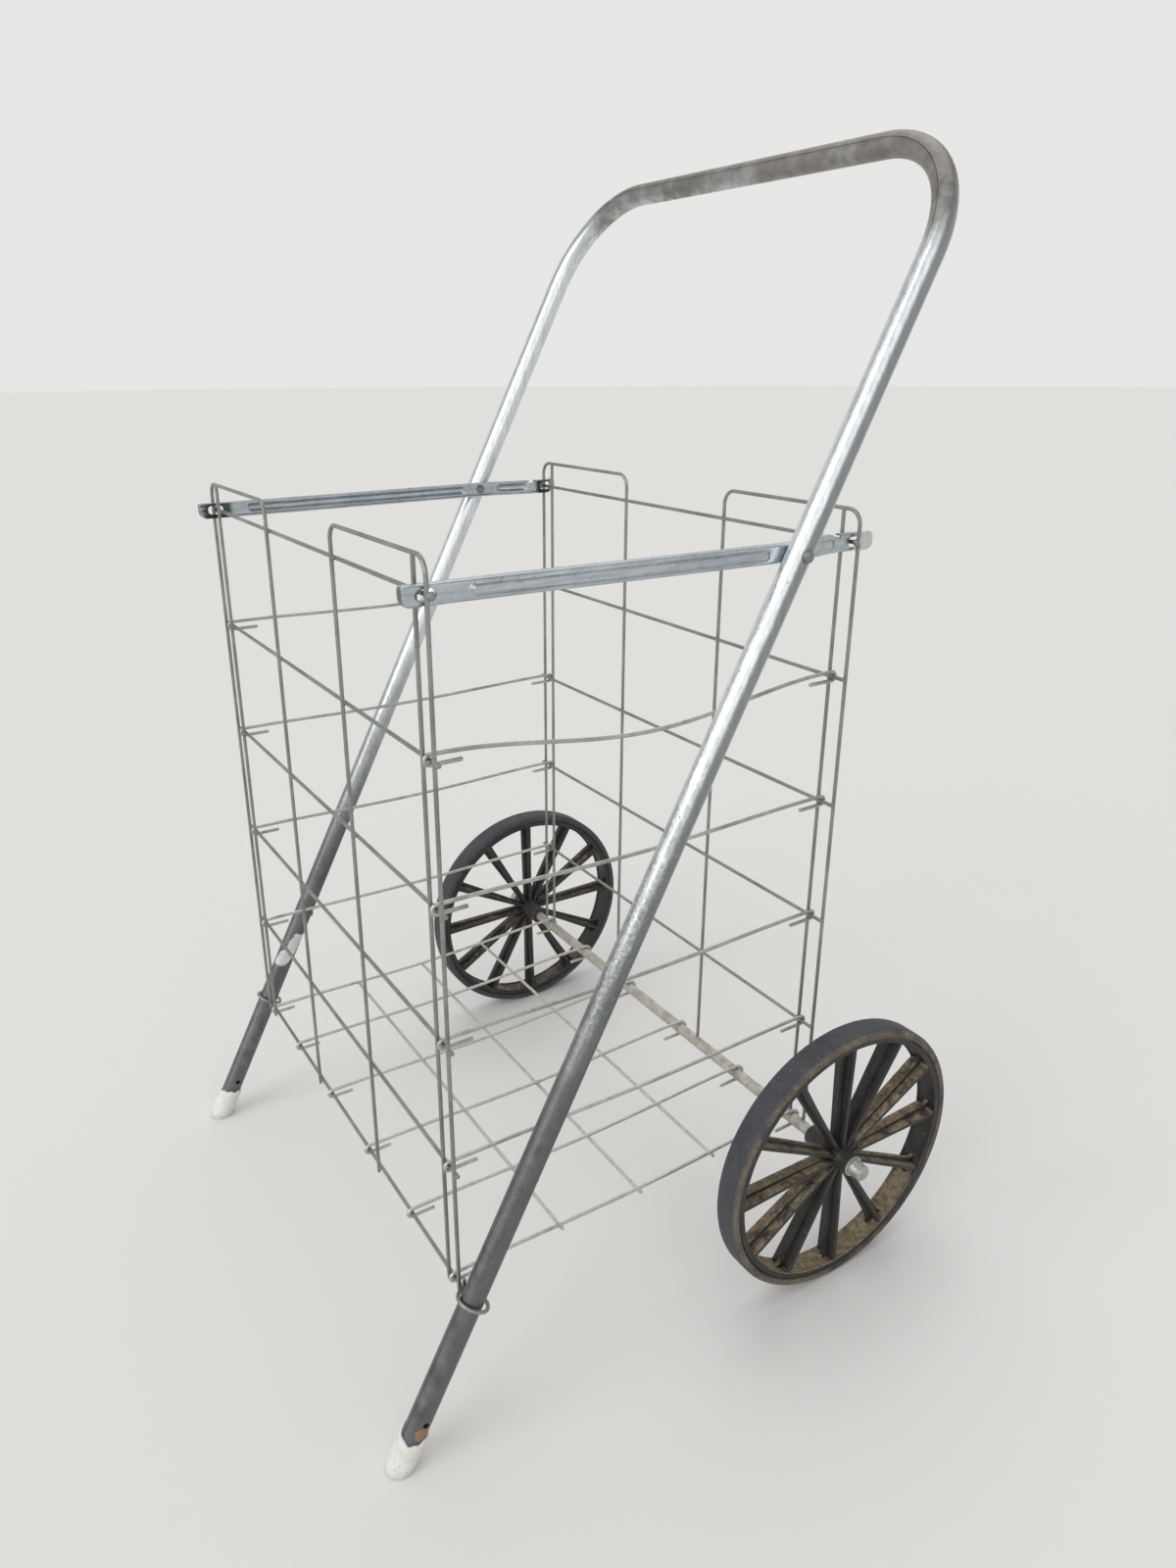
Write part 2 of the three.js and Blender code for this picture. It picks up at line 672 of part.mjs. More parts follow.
function wheel() {
  const half = RIM_WIDTH / 2;
  const inner = RIM_RADIUS - RIM_THICKNESS;
  const rim = [
    [inner - RIM_LIP, -half],
    [RIM_RADIUS, -half],
    [RIM_RADIUS, half],
    [inner - RIM_LIP, half],
    [inner, half - RIM_LIP],
    [inner, RIM_LIP - half],
    [inner - RIM_LIP, -half],
  ];
  const hub = [
    [HUB_BORE / 2, -HUB_INBOARD],
    [HUB_DIAMETER / 2, -HUB_INBOARD],
    [HUB_DIAMETER / 2, HUB_OUTBOARD],
    [HUB_BORE / 2, HUB_OUTBOARD],
    [HUB_BORE / 2, -HUB_INBOARD],
  ];
  const pieces = [solidOf(turnedOnX(rim, WHEEL_SIDES)), solidOf(turnedOnX(hub, TUBE_SIDES))];
  for (let i = 0; i < SPOKE_COUNT; i += 1) {
    for (const blade of spoke()) {
      pieces.push(solidOf(blade.rotateX((2 * Math.PI * i) / SPOKE_COUNT)));
    }
  }
  return geometryOf(join(pieces));
}

function axle() {
  const half = WHEEL_TRACK / 2 + HUB_OUTBOARD + AXLE_BEYOND_HUB;
  const rod = new THREE.CylinderGeometry(AXLE / 2, AXLE / 2, 2 * half, TUBE_SIDES);
  return geometryOf(solidOf(rod.rotateZ(Math.PI / 2)));
}

function axleWasher() {
  const near = HUB_OUTBOARD + FIT_GAP;
  const far = near + WASHER_THICKNESS;
  const profile = [
    [HUB_BORE / 2, near],
    [WASHER_DIAMETER / 2, near],
    [WASHER_DIAMETER / 2, far],
    [HUB_BORE / 2, far],
    [HUB_BORE / 2, near],
  ];
  return geometryOf(solidOf(turnedOnX(profile, TUBE_SIDES)));
}

// Push-on cap over the end of the axle.
function axleCap() {
  const near = HUB_OUTBOARD + 2 * FIT_GAP + WASHER_THICKNESS;
  const seat = HUB_OUTBOARD + AXLE_BEYOND_HUB + FIT_GAP;
  const outer = CAP_DIAMETER / 2;
  const bore = AXLE / 2 + FIT_GAP;
  const profile = [
    [0, seat],
    [bore, seat],
    [bore, near],
    [outer, near],
    ...domeArc(outer, seat, CAP_CROWN),
  ];
  return geometryOf(solidOf(turnedOnX(profile, TUBE_SIDES)));
}

// Assembly

function finish(color, roughness, metalness) {
  return new THREE.MeshStandardMaterial({ color, roughness, metalness });
}

function piece(name, geometry, material) {
  const mesh = new THREE.Mesh(geometry, material);
  mesh.name = name;
  return mesh;
}

const cart = new THREE.Group();

function addPair(name, geometry, color, roughness, metalness) {
  cart.add(piece(`${name}_right`, geometry, finish(color, roughness, metalness)));
  cart.add(piece(`${name}_left`, mirrored(geometry), finish(color, roughness, metalness)));
}

cart.add(piece("handle_frame", handleFrame(), finish(0x9aa0a2, 0.45, 0.9)));
addPair("foot_cap", footCap(), 0xd8d6cc, 0.6, 0);
addPair("leg_rivet", legRivet(), 0xb9b5a6, 0.5, 0.8);
addPair("guide_ring", guideRing(), 0x8b8a82, 0.55, 0.8);
addPair("rail", rail(), 0xa9b0b4, 0.4, 0.9);
addPair("rail_rivet", railRivet(), 0x7f8784, 0.5, 0.9);

cart.add(piece("front_panel", panel(-1, 0, -FRONT_WIRE_DROP), finish(0x84857f, 0.55, 0.8)));
cart.add(piece("rear_panel", panel(1, 1, AXLE / 2 + FIT_GAP), finish(0x84857f, 0.55, 0.8)));
cart.add(piece("floor_panel", floorPanel(), finish(0xb0aea2, 0.5, 0.8)));

for (let level = 1; level < TOP_LEVEL; level += 1) {
  const straight = sideWire(level, 0);
  const right = level === TOP_LEVEL - 1 ? sideWire(level, BENT_WIRE_SAG) : straight;
  cart.add(piece(`side_wire_right_${level}`, right, finish(0xa3a29a, 0.5, 0.8)));
  cart.add(piece(`side_wire_left_${level}`, mirrored(straight), finish(0xa3a29a, 0.5, 0.8)));
}

const wheelSet = new THREE.Group();
wheelSet.position.copy(pivot(1, 0));
wheelSet.add(piece("axle", axle(), finish(0x8a8272, 0.6, 0.7)));
for (const [side, turn] of [["right", 0], ["left", Math.PI]]) {
  const mount = new THREE.Group();
  mount.rotation.z = turn;
  mount.position.x = (WHEEL_TRACK / 2) * Math.cos(turn);
  mount.add(piece(`wheel_${side}`, wheel(), finish(0x2b2723, 0.75, 0)));
  mount.add(piece(`tyre_${side}`, tyre(), finish(0x3a3d42, 0.85, 0)));
  mount.add(piece(`axle_washer_${side}`, axleWasher(), finish(0x8d8b84, 0.55, 0.8)));
  mount.add(piece(`axle_cap_${side}`, axleCap(), finish(0xbdbdb6, 0.45, 0.8)));
  wheelSet.add(mount);
}
cart.add(wheelSet);

// The middle of the footprint is the origin.
const box = new THREE.Box3().setFromObject(cart);
cart.position.y = -(box.min.y + box.max.y) / 2;

export default cart;
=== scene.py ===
import json
import math

import bmesh
import bpy
from mathutils import Matrix, Vector, noise


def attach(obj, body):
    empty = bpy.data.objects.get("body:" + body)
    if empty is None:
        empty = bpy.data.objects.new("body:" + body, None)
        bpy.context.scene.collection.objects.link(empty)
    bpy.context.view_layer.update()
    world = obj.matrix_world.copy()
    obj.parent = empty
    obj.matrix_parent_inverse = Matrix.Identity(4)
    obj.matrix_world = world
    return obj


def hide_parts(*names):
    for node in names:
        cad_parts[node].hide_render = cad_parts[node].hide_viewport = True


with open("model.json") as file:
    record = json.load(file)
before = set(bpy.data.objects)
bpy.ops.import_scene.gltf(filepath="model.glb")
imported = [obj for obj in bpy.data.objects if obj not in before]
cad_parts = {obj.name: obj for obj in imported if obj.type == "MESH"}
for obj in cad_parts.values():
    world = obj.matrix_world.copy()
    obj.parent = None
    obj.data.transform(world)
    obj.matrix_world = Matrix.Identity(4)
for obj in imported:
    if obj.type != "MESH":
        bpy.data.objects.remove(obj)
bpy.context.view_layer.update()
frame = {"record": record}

# Places of the linkage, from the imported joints
places = {
    joint["name"]: Vector(joint["pos_m"])
    for joint in frame["record"]["behaviour"]["joints"]
    if "pos_m" in joint
}
REAR_FOOT = places["floor_fold"]
REAR_TOP = places["fold"]
FRONT_TOP = places["front_panel_fold"]
RIVET = places["handle_fold"]
TO_FRONT = FRONT_TOP - REAR_TOP

# Sizes, in metres
WIRE = 0.0016
WELD_SINK = 0.0006
WELD = 0.0019
GAP = 0.0003
CORNER_X = 0.238
PAIR_GAP = 0.018
LOOP_WIDTH = 0.162
LOOP_RISE = 0.024
LOOP_BEND = 0.012
FRONT_DROP = 0.004
LEVELS = 6
SIDE_X = 0.225
SIDE_TAIL = 0.023
HOOK = 0.0037
FLOOR_TAIL = 0.020
FLOOR_X = (0.048, 0.143, 0.225)
FLOOR_PITCH = 0.080
AXLE = 0.0055
AXLE_HOOK = 0.0076
TRACK = 0.2845
WHEEL = REAR_FOOT.z
TYRE = 0.0075
TYRE_HALF = 0.013
SPOKES = 12
RIM = 0.0045
HUB = 0.010
HUB_OUT = 0.020
AXLE_END = 0.032
LEG_X = 0.2541
TUBE = 0.0095
BAR_TOP = 0.966
BAR_BEND = 0.092
RING = 0.0126
RING_OFFSET = 0.0012
CAP_PAD = 0.010
CAP_LENGTH = 0.033
FOOT_HOLE = 0.0025
FOOT_HOLE_HEIGHT = 0.040
LEG_RIVET_HEIGHT = 0.226
STICKER_HEIGHT = 0.187

X_AXIS = Vector((1, 0, 0))
Y_AXIS = Vector((0, 1, 0))
Z_AXIS = Vector((0, 0, 1))
PANEL_UP = (REAR_TOP - REAR_FOOT).normalized()
PANEL_REAR = Vector((0, PANEL_UP.z, -PANEL_UP.y))
PITCH = (REAR_TOP - REAR_FOOT).length / (LEVELS - 1)
DEPTH = TO_FRONT.length


def pivot(side, level, x=0.0):
    """Middle of the wire that a level hangs on: side -1 is the front panel, 1 the rear one."""
    foot = REAR_FOOT + (TO_FRONT if side < 0 else Vector())
    return foot + PANEL_UP * (level * PITCH) + X_AXIS * x


RING_POINT = pivot(-1, 0, LEG_X)
LEG_UP = (RIVET + X_AXIS * LEG_X - RING_POINT).normalized()
LEG_FRONT = Vector((0, -LEG_UP.z, LEG_UP.y))


def leg_point(height, hand=1):
    """Point on a leg's centre line at a height above the ground."""
    point = RING_POINT + LEG_UP * ((height - RING_POINT.z) / LEG_UP.z)
    return Vector((hand * point.x, point.y, point.z))


def side_of(hand):
    return "right" if hand > 0 else "left"


# Shaping tools

def edges_of(verts):
    """The edges that run between these vertices."""
    inside = set(verts)
    near = dict.fromkeys(edge for vert in verts for edge in vert.link_edges)
    return [edge for edge in near if edge.verts[0] in inside and edge.verts[1] in inside]


def grow(bm, edges):
    """Extrudes a ring and gives the new ring's vertices and edges."""
    made = bmesh.ops.extrude_edge_only(bm, edges=edges)["geom"]
    verts = [item for item in made if isinstance(item, bmesh.types.BMVert)]
    return verts, edges_of(verts)


class Pull:
    """A section pulled along straight runs and round bends, as wire goes through a bender."""

    def __init__(self, bm, radius, sides, start, heading, normal, shape=None):
        self.bm = bm
        self.radius = radius
        self.place = Vector(start)
        self.heading = Vector(heading).normalized()
        self.normal = Vector(normal).normalized()
        across = self.heading.cross(self.normal)
        turn = Matrix((self.normal, across, self.heading)).transposed().to_4x4()
        ring = bmesh.ops.create_circle(bm, segments=sides, radius=radius)["verts"]
        if shape:
            shape(bm, ring)
        bmesh.ops.transform(bm, matrix=Matrix.Translation(start) @ turn, verts=ring)
        self.verts = ring
        self.edges = edges_of(ring)
        self.start = (self.verts, self.edges, self.place.copy(), -self.heading)

    def run(self, length, steps=1):
        for _ in range(steps):
            self.verts, self.edges = grow(self.bm, self.edges)
            bmesh.ops.translate(self.bm, verts=self.verts, vec=self.heading * (length / steps))
        self.place = self.place + self.heading * length
        return self

    def bend(self, angle, radius, steps):
        centre = self.place + self.normal.cross(self.heading) * math.copysign(radius, angle)
        made = bmesh.ops.spin(
            self.bm, geom=self.verts + self.edges, cent=centre, axis=self.normal,
            angle=angle, steps=steps, use_merge=False, use_duplicate=False,
        )["geom_last"]
        self.verts = [item for item in made if isinstance(item, bmesh.types.BMVert)]
        self.edges = edges_of(self.verts)
        turn = Matrix.Rotation(angle, 3, self.normal)
        self.place = centre + turn @ (self.place - centre)
        self.heading = turn @ self.heading
        return self

    def close(self, crown=0.35):
        """Closes both cut ends, slightly rounded."""
        ends = (self.start, (self.verts, self.edges, self.place, self.heading))
        for verts, edges, place, outward in ends:
            for angle in (0.6, 1.1):
                verts, edges = grow(self.bm, edges)
                size = math.cos(angle) / (1.0 if angle < 1 else math.cos(0.6))
                reach = math.sin(angle) - (0.0 if angle < 1 else math.sin(0.6))
                about = Matrix.Translation(-place)
                bmesh.ops.scale(self.bm, verts=verts, vec=(size, size, size), space=about)
                step = outward * (reach * crown * self.radius)
                bmesh.ops.translate(self.bm, verts=verts, vec=step)
                place = place + step
            bmesh.ops.contextual_create(self.bm, geom=edges)
        return self


def turned(bm, profile, place, axis, steps, closed=False):
    """Spins a profile of (radius, along) pairs round an axis."""
    axis = Vector(axis).normalized()
    side = axis.orthogonal().normalized()
    verts = [bm.verts.new(place + side * radius + axis * along) for radius, along in profile]
    pairs = list(zip(verts, verts[1:]))
    if closed:
        pairs.append((verts[-1], verts[0]))
    edges = [bm.edges.new(pair) for pair in pairs]
    bmesh.ops.spin(
        bm, geom=verts + edges, cent=place, axis=axis, angle=math.tau, steps=steps, use_merge=True
    )
    bmesh.ops.remove_doubles(bm, verts=bm.verts, dist=1e-6)


def arc(middle, radius, start, end, steps):
    """(radius, along) pairs on a round corner, angles in degrees from the radial direction."""
    pairs = []
    for i in range(steps + 1):
        angle = math.radians(start + (end - start) * i / steps)
        pairs.append((middle[0] + radius * math.cos(angle), middle[1] + radius * math.sin(angle)))
    return pairs


def dome(radius, foot, rise, steps, first=0):
    """(radius, along) pairs over a low dome, from its edge to its middle."""
    angles = [a / steps * math.pi / 2 for a in range(first, steps)]
    return [(radius * math.cos(a), foot + rise * math.sin(a)) for a in angles] + [(0.0, foot + rise)]


def weld_spot(bm, place, size):
    """A flattened nugget where two wires are welded."""
    scale = Matrix.Diagonal((size * 1.2, size, size * 1.2, 1))
    bmesh.ops.create_icosphere(
        bm, subdivisions=2, radius=1.0, matrix=Matrix.Translation(place) @ scale
    )


def make(name, bm, body, look, nodes, modifiers=(), sharp=38, facing=None):
    """Turns a finished bmesh into a piece that rides on a body and stands for CAD nodes."""
    bmesh.ops.recalc_face_normals(bm, faces=bm.faces)
    if facing and sum(face.normal.dot(facing) * face.calc_area() for face in bm.faces) < 0:
        bmesh.ops.reverse_faces(bm, faces=bm.faces)
    mesh = bpy.data.meshes.new(name)
    bm.to_mesh(mesh)
    bm.free()
    piece = bpy.data.objects.new(name, mesh)
    bpy.context.scene.collection.objects.link(piece)
    for kind, settings in modifiers:
        modifier = piece.modifiers.new(kind.lower(), kind)
        for key, value in settings.items():
            setattr(modifier, key, value)
    if modifiers:
        graph = bpy.context.evaluated_depsgraph_get()
        piece.data = bpy.data.meshes.new_from_object(piece.evaluated_get(graph))
        piece.data.name = name
        piece.modifiers.clear()
    piece.data.polygons.foreach_set("use_smooth", [True] * len(piece.data.polygons))
    piece.data.set_sharp_from_angle(angle=math.radians(sharp))
    piece.data.materials.clear()
    piece.data.materials.append(look)
    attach(piece, body)
    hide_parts(*nodes)
    return piece


# Looks

class Paint:
    """Lays nodes into one tree and links them."""

    def __init__(self, tree):
        self.tree = tree

    def feed(self, socket, value):
        if isinstance(value, bpy.types.NodeSocket):
            self.tree.links.new(value, socket)
        else:
            socket.default_value = value

    def node(self, kind, inputs=None, **settings):
        node = self.tree.nodes.new(kind)
        for key, value in settings.items():
            setattr(node, key, value)
        for key, value in (inputs or {}).items():
            self.feed(node.inputs[key], value)
        return node

    def math(self, operation, first, second=0.0, clamp=False):
        node = self.node("ShaderNodeMath", {0: first, 1: second}, operation=operation, use_clamp=clamp)
        return node.outputs[0]

    def times(self, first, second):
        return self.math("MULTIPLY", first, second)

    def plus(self, first, second):
        return self.math("ADD", first, second)

    def minus(self, first, second):
        return self.math("SUBTRACT", first, second)

    def most(self, first, second):
        return self.math("MAXIMUM", first, second)

    def span(self, value, low, high, start=0.0, end=1.0):
        """Smooth step from low to high."""
        node = self.node(
            "ShaderNodeMapRange",
            {"Value": value, "From Min": low, "From Max": high, "To Min": start, "To Max": end},
            interpolation_type="SMOOTHSTEP",
        )
        return node.outputs["Result"]

    def mix(self, share, first, second):
        node = self.node("ShaderNodeMix", data_type="RGBA")
        for index, value in ((0, share), (6, first), (7, second)):
            self.feed(node.inputs[index], value)
        return node.outputs[2]

    def coat(self, base, mask, share, tint):
        """Lays a tint over the base where the mask is, at a share of its strength."""
        return self.mix(self.times(mask, share), base, tint)

    def blend(self, share, first, second):
        node = self.node("ShaderNodeMix", {0: share, 2: first, 3: second}, data_type="FLOAT")
        return node.outputs[0]

    def noise(self, vector, scale, detail=4.0, roughness=0.55, distortion=0.0):
        node = self.node(
            "ShaderNodeTexNoise",
            {"Vector": vector, "Scale": scale, "Detail": detail, "Roughness": roughness,
             "Distortion": distortion},
        )
        return node.outputs["Fac"]

    def stretched(self, vector, scale, turn=(0, 0, 0)):
        node = self.node("ShaderNodeMapping", {"Vector": vector, "Rotation": turn, "Scale": scale})
        return node.outputs["Vector"]


def colour(red, green, blue):
    return (red, green, blue, 1.0)


def new_group(name, inputs, outputs):
    """An empty node group with float or vector inputs and float outputs."""
    tree = bpy.data.node_groups.new(name, "ShaderNodeTree")
    for label, kind in inputs:
        tree.interface.new_socket(label, in_out="INPUT", socket_type=kind)
    for label in outputs:
        tree.interface.new_socket(label, in_out="OUTPUT", socket_type="NodeSocketFloat")
    paint = Paint(tree)
    return tree, paint, paint.node("NodeGroupInput").outputs, paint.node("NodeGroupOutput").inputs


def patches_group():
    """Cloudy patches: Cover is the share of the surface that they take."""
    inputs = [("Place", "NodeSocketVector"), ("Scale", "NodeSocketFloat"),
              ("Cover", "NodeSocketFloat"), ("Soft", "NodeSocketFloat")]
    tree, paint, given, result = new_group("patches", inputs, ["Mask", "Shade"])
    cloud = paint.noise(given["Place"], given["Scale"], 7.0, 0.62, 0.3)
    edge = paint.minus(0.72, paint.times(given["Cover"], 0.44))
    high = paint.plus(edge, given["Soft"])
    low = paint.minus(edge, given["Soft"])
    paint.feed(result["Mask"], paint.span(cloud, low, high))
    paint.feed(result["Shade"], paint.span(cloud, 0.3, 0.7))
    return tree


def pits_group():
    """Round spots of uneven size: Cover is the share of cells that hold one."""
    inputs = [("Place", "NodeSocketVector"), ("Scale", "NodeSocketFloat"),
              ("Cover", "NodeSocketFloat"), ("Size", "NodeSocketFloat")]
    tree, paint, given, result = new_group("pits", inputs, ["Mask"])
    ragged = paint.noise(given["Place"], paint.times(given["Scale"], 3.0), 3.0)
    cells = paint.node("ShaderNodeTexVoronoi", {"Vector": given["Place"], "Scale": given["Scale"]})
    picks = paint.node("ShaderNodeSeparateColor", {"Color": cells.outputs["Color"]})
    chosen = paint.math("LESS_THAN", picks.outputs["Red"], given["Cover"])
    spread = paint.times(given["Size"], paint.plus(picks.outputs["Green"], 0.35))
    wobble = paint.plus(cells.outputs["Distance"], paint.times(ragged, 0.22))
    reach = paint.minus(paint.plus(spread, 0.11), wobble)
    paint.feed(result["Mask"], paint.times(paint.span(reach, 0.0, 0.08), chosen))
    return tree


def ledge_dirt_group():
    """Dirt that has settled on faces turned upwards, thinned out by patches."""
    inputs = [("Place", "NodeSocketVector"), ("Facing", "NodeSocketVector"),
              ("Scale", "NodeSocketFloat"), ("Cover", "NodeSocketFloat")]
    tree, paint, given, result = new_group("ledge_dirt", inputs, ["Mask"])
    up = paint.node("ShaderNodeSeparateXYZ", {"Vector": given["Facing"]}).outputs["Z"]
    cloud = paint.noise(given["Place"], given["Scale"], 6.0, 0.65)
    ledge = paint.span(up, 0.20, 0.85)
    loose = paint.plus(paint.times(ledge, 0.62), given["Cover"])
    paint.feed(result["Mask"], paint.span(paint.plus(loose, cloud), 0.84, 1.12))
    return tree


PATCHES = patches_group()
PITS = pits_group()
LEDGE_DIRT = ledge_dirt_group()


class Look:
    """One material: its shader, its coordinates and the shared effects."""

    def __init__(self, name, ior=1.5):
        self.material = bpy.data.materials.new(name)
        self.material.use_nodes = True
        tree = self.material.node_tree
        self.paint = Paint(tree)
        self.shader = next(node for node in tree.nodes if node.type == "BSDF_PRINCIPLED")
        self.shader.inputs["IOR"].default_value = ior
        where = self.paint.node("ShaderNodeTexCoord")
        self.place = where.outputs["Object"]
        self.facing = where.outputs["Normal"]
        split = self.paint.node("ShaderNodeSeparateXYZ", {"Vector": self.place})
        self.x, self.y, self.z = split.outputs
        split = self.paint.node("ShaderNodeSeparateXYZ", {"Vector": self.facing})
        self.facing_x, self.facing_y, self.facing_z = split.outputs

    def effect(self, tree, output="Mask", **inputs):
        node = self.paint.node("ShaderNodeGroup", node_tree=tree)
        self.paint.feed(node.inputs["Place"], inputs.pop("Place", self.place))
        for key, value in inputs.items():
            self.paint.feed(node.inputs[key], value)
        return node.outputs[output]

    def near(self, point, reach):
        """1 at a point of the piece, fading to 0 at the reach."""
        gap = self.paint.node(
            "ShaderNodeVectorMath", {0: self.place, 1: tuple(point)}, operation="DISTANCE"
        ).outputs["Value"]
        return self.paint.span(gap, reach, reach * 0.4)

    def away(self, place, middle):
        """Distance of a coordinate from a middle value."""
        return self.paint.math("ABSOLUTE", self.paint.minus(place, middle))

    def axle_distance(self):
        """Distance from the axle's line."""
        along = self.paint.node(
            "ShaderNodeCombineXYZ", {"X": self.x, "Y": REAR_FOOT.y, "Z": REAR_FOOT.z}
        )
        return self.paint.node(
            "ShaderNodeVectorMath", {0: self.place, 1: along.outputs[0]}, operation="DISTANCE"
        ).outputs["Value"]

    def set(self, **values):
        names = {"base": "Base Color", "rough": "Roughness", "metal": "Metallic"}
        for key, value in values.items():
            self.paint.feed(self.shader.inputs[names[key]], value)

    def bump(self, height, depth, strength=1.0):
        node = self.paint.node(
            "ShaderNodeBump", {"Height": height, "Distance": depth, "Strength": strength}
        )
        self.paint.feed(self.shader.inputs["Normal"], node.outputs["Normal"])
        return self.material


def zinc_tube_look():
    look = Look("galvanised_tube", 2.0)
    paint = look.paint
    tilt = math.atan2(LEG_UP.y, LEG_UP.z)
    drawn = paint.stretched(look.place, (1.0, 1.0, 0.06), (tilt, 0, 0))
    streaks = paint.span(paint.noise(drawn, 300.0, 3.0), 0.35, 0.7)
    cloud = look.effect(PATCHES, "Shade", Scale=16.0, Cover=0.5, Soft=0.1)
    mottle = look.effect(PATCHES, "Shade", Scale=95.0, Cover=0.5, Soft=0.1)
    sway = paint.times(paint.minus(cloud, 0.5), 0.07)
    height = paint.plus(look.z, sway)
    near_side = paint.span(look.x, -0.05, 0.05)
    low = paint.span(height, 0.60, 0.25)
    bar = paint.span(height, paint.blend(near_side, 0.905, 0.875), 0.948)
    dull = paint.most(low, bar)
    worn = paint.times(paint.span(height, 0.30, 0.40), paint.span(height, 0.68, 0.56))
    worn = paint.times(worn, paint.blend(near_side, 0.35, 1.0))
    flakes = paint.times(look.effect(PATCHES, Scale=300.0, Cover=0.34, Soft=0.10), worn)
    grime = paint.times(look.effect(PATCHES, Scale=70.0, Cover=0.5, Soft=0.2), dull)
    pit_cover = paint.plus(paint.times(worn, 0.20), paint.times(bar, 0.14))
    pit_cover = paint.plus(pit_cover, paint.times(low, 0.10))
    pits = look.effect(PITS, Scale=360.0, Cover=paint.plus(pit_cover, 0.008), Size=0.22)
    clean = paint.mix(streaks, colour(0.60, 0.635, 0.655), colour(0.75, 0.775, 0.79))
    # Darker towards the feet (the low mask): partly duller zinc, partly a painted reflection of a dark
    # floor.
    dull_zinc_and_painted_reflection = paint.mix(mottle, colour(0.095, 0.10, 0.108), colour(0.15, 0.155, 0.163))
    handled = paint.mix(mottle, colour(0.20, 0.185, 0.165), colour(0.31, 0.295, 0.27))
    base = paint.mix(low, clean, dull_zinc_and_painted_reflection)
    base = paint.mix(bar, base, handled)
    base = paint.coat(base, grime, 0.30, colour(0.30, 0.30, 0.295))
    base = paint.coat(base, flakes, 0.55, colour(0.80, 0.815, 0.82))
    # Painted shade down the side of each leg turned away from the light: the outer side of the right leg,
    # and more faintly the front of the left leg.
    side_painted_shade = paint.blend(near_side, paint.times(paint.span(look.facing_y, -0.72, -0.97), 0.6),
                         paint.span(look.facing_x, 0.78, 0.97))
    base = paint.coat(base, side_painted_shade, 0.72, colour(0.15, 0.16, 0.168))
    base = paint.coat(base, pits, 0.7, colour(0.13, 0.09, 0.065))
    spot = leg_point(FOOT_HOLE_HEIGHT - 0.0075) + Vector((TUBE * 0.9, 0, 0))
    torn = paint.plus(look.near(spot, 0.0085), paint.times(mottle, 0.35))
    rust = paint.span(torn, 0.60, 0.95)
    base = paint.coat(base, rust, 0.8, colour(0.34, 0.15, 0.055))
    paper = sticker_mask(look)
    base = paint.mix(paper, base, paint.mix(mottle, colour(0.78, 0.775, 0.76), colour(0.60, 0.60, 0.60)))
    rough = paint.blend(dull, 0.31, 0.44)
    rough = paint.plus(rough, paint.times(paint.minus(mottle, 0.5), 0.10))
    spoiled = paint.most(paint.most(pits, rust), paper)
    rough = paint.blend(spoiled, rough, 0.8)
    look.set(base=base, rough=rough, metal=paint.blend(spoiled, 0.95, 0.1))
    grain = paint.noise(look.place, 700.0, 2.0)
    height = paint.plus(paint.times(grain, 0.22), paint.times(flakes, 0.25))
    height = paint.minus(height, paint.times(pits, 0.8))
    return look.bump(paint.plus(height, paper), 0.0003)


def sticker_mask(look):
    """What is left of a torn blank sticker, on the inner face of the left leg."""
    paint = look.paint
    middle = leg_point(STICKER_HEIGHT, -1) + Vector((TUBE, 0, 0))
    away = paint.node("ShaderNodeVectorMath", {0: look.place, 1: tuple(middle)}, operation="SUBTRACT")
    along, across = (
        paint.node("ShaderNodeVectorMath", {0: away.outputs[0], 1: tuple(way)}, operation="DOT_PRODUCT")
        for way in (LEG_UP, LEG_FRONT)
    )
    ragged = paint.minus(paint.noise(look.place, 190.0, 5.0, 0.7), 0.5)
    lengthwise = paint.math("ABSOLUTE", along.outputs["Value"])
    lengthwise = paint.plus(lengthwise, paint.times(ragged, 0.012))
    slant = paint.plus(across.outputs["Value"], paint.times(along.outputs["Value"], 0.22))
    sideways = paint.math("ABSOLUTE", paint.minus(slant, 0.001))
    sideways = paint.plus(sideways, paint.times(ragged, 0.010))
    inside = paint.times(paint.span(lengthwise, 0.0215, 0.0207), paint.span(sideways, 0.0064, 0.0058))
    return paint.times(inside, paint.span(look.away(look.x, middle.x), 0.010, 0.008))


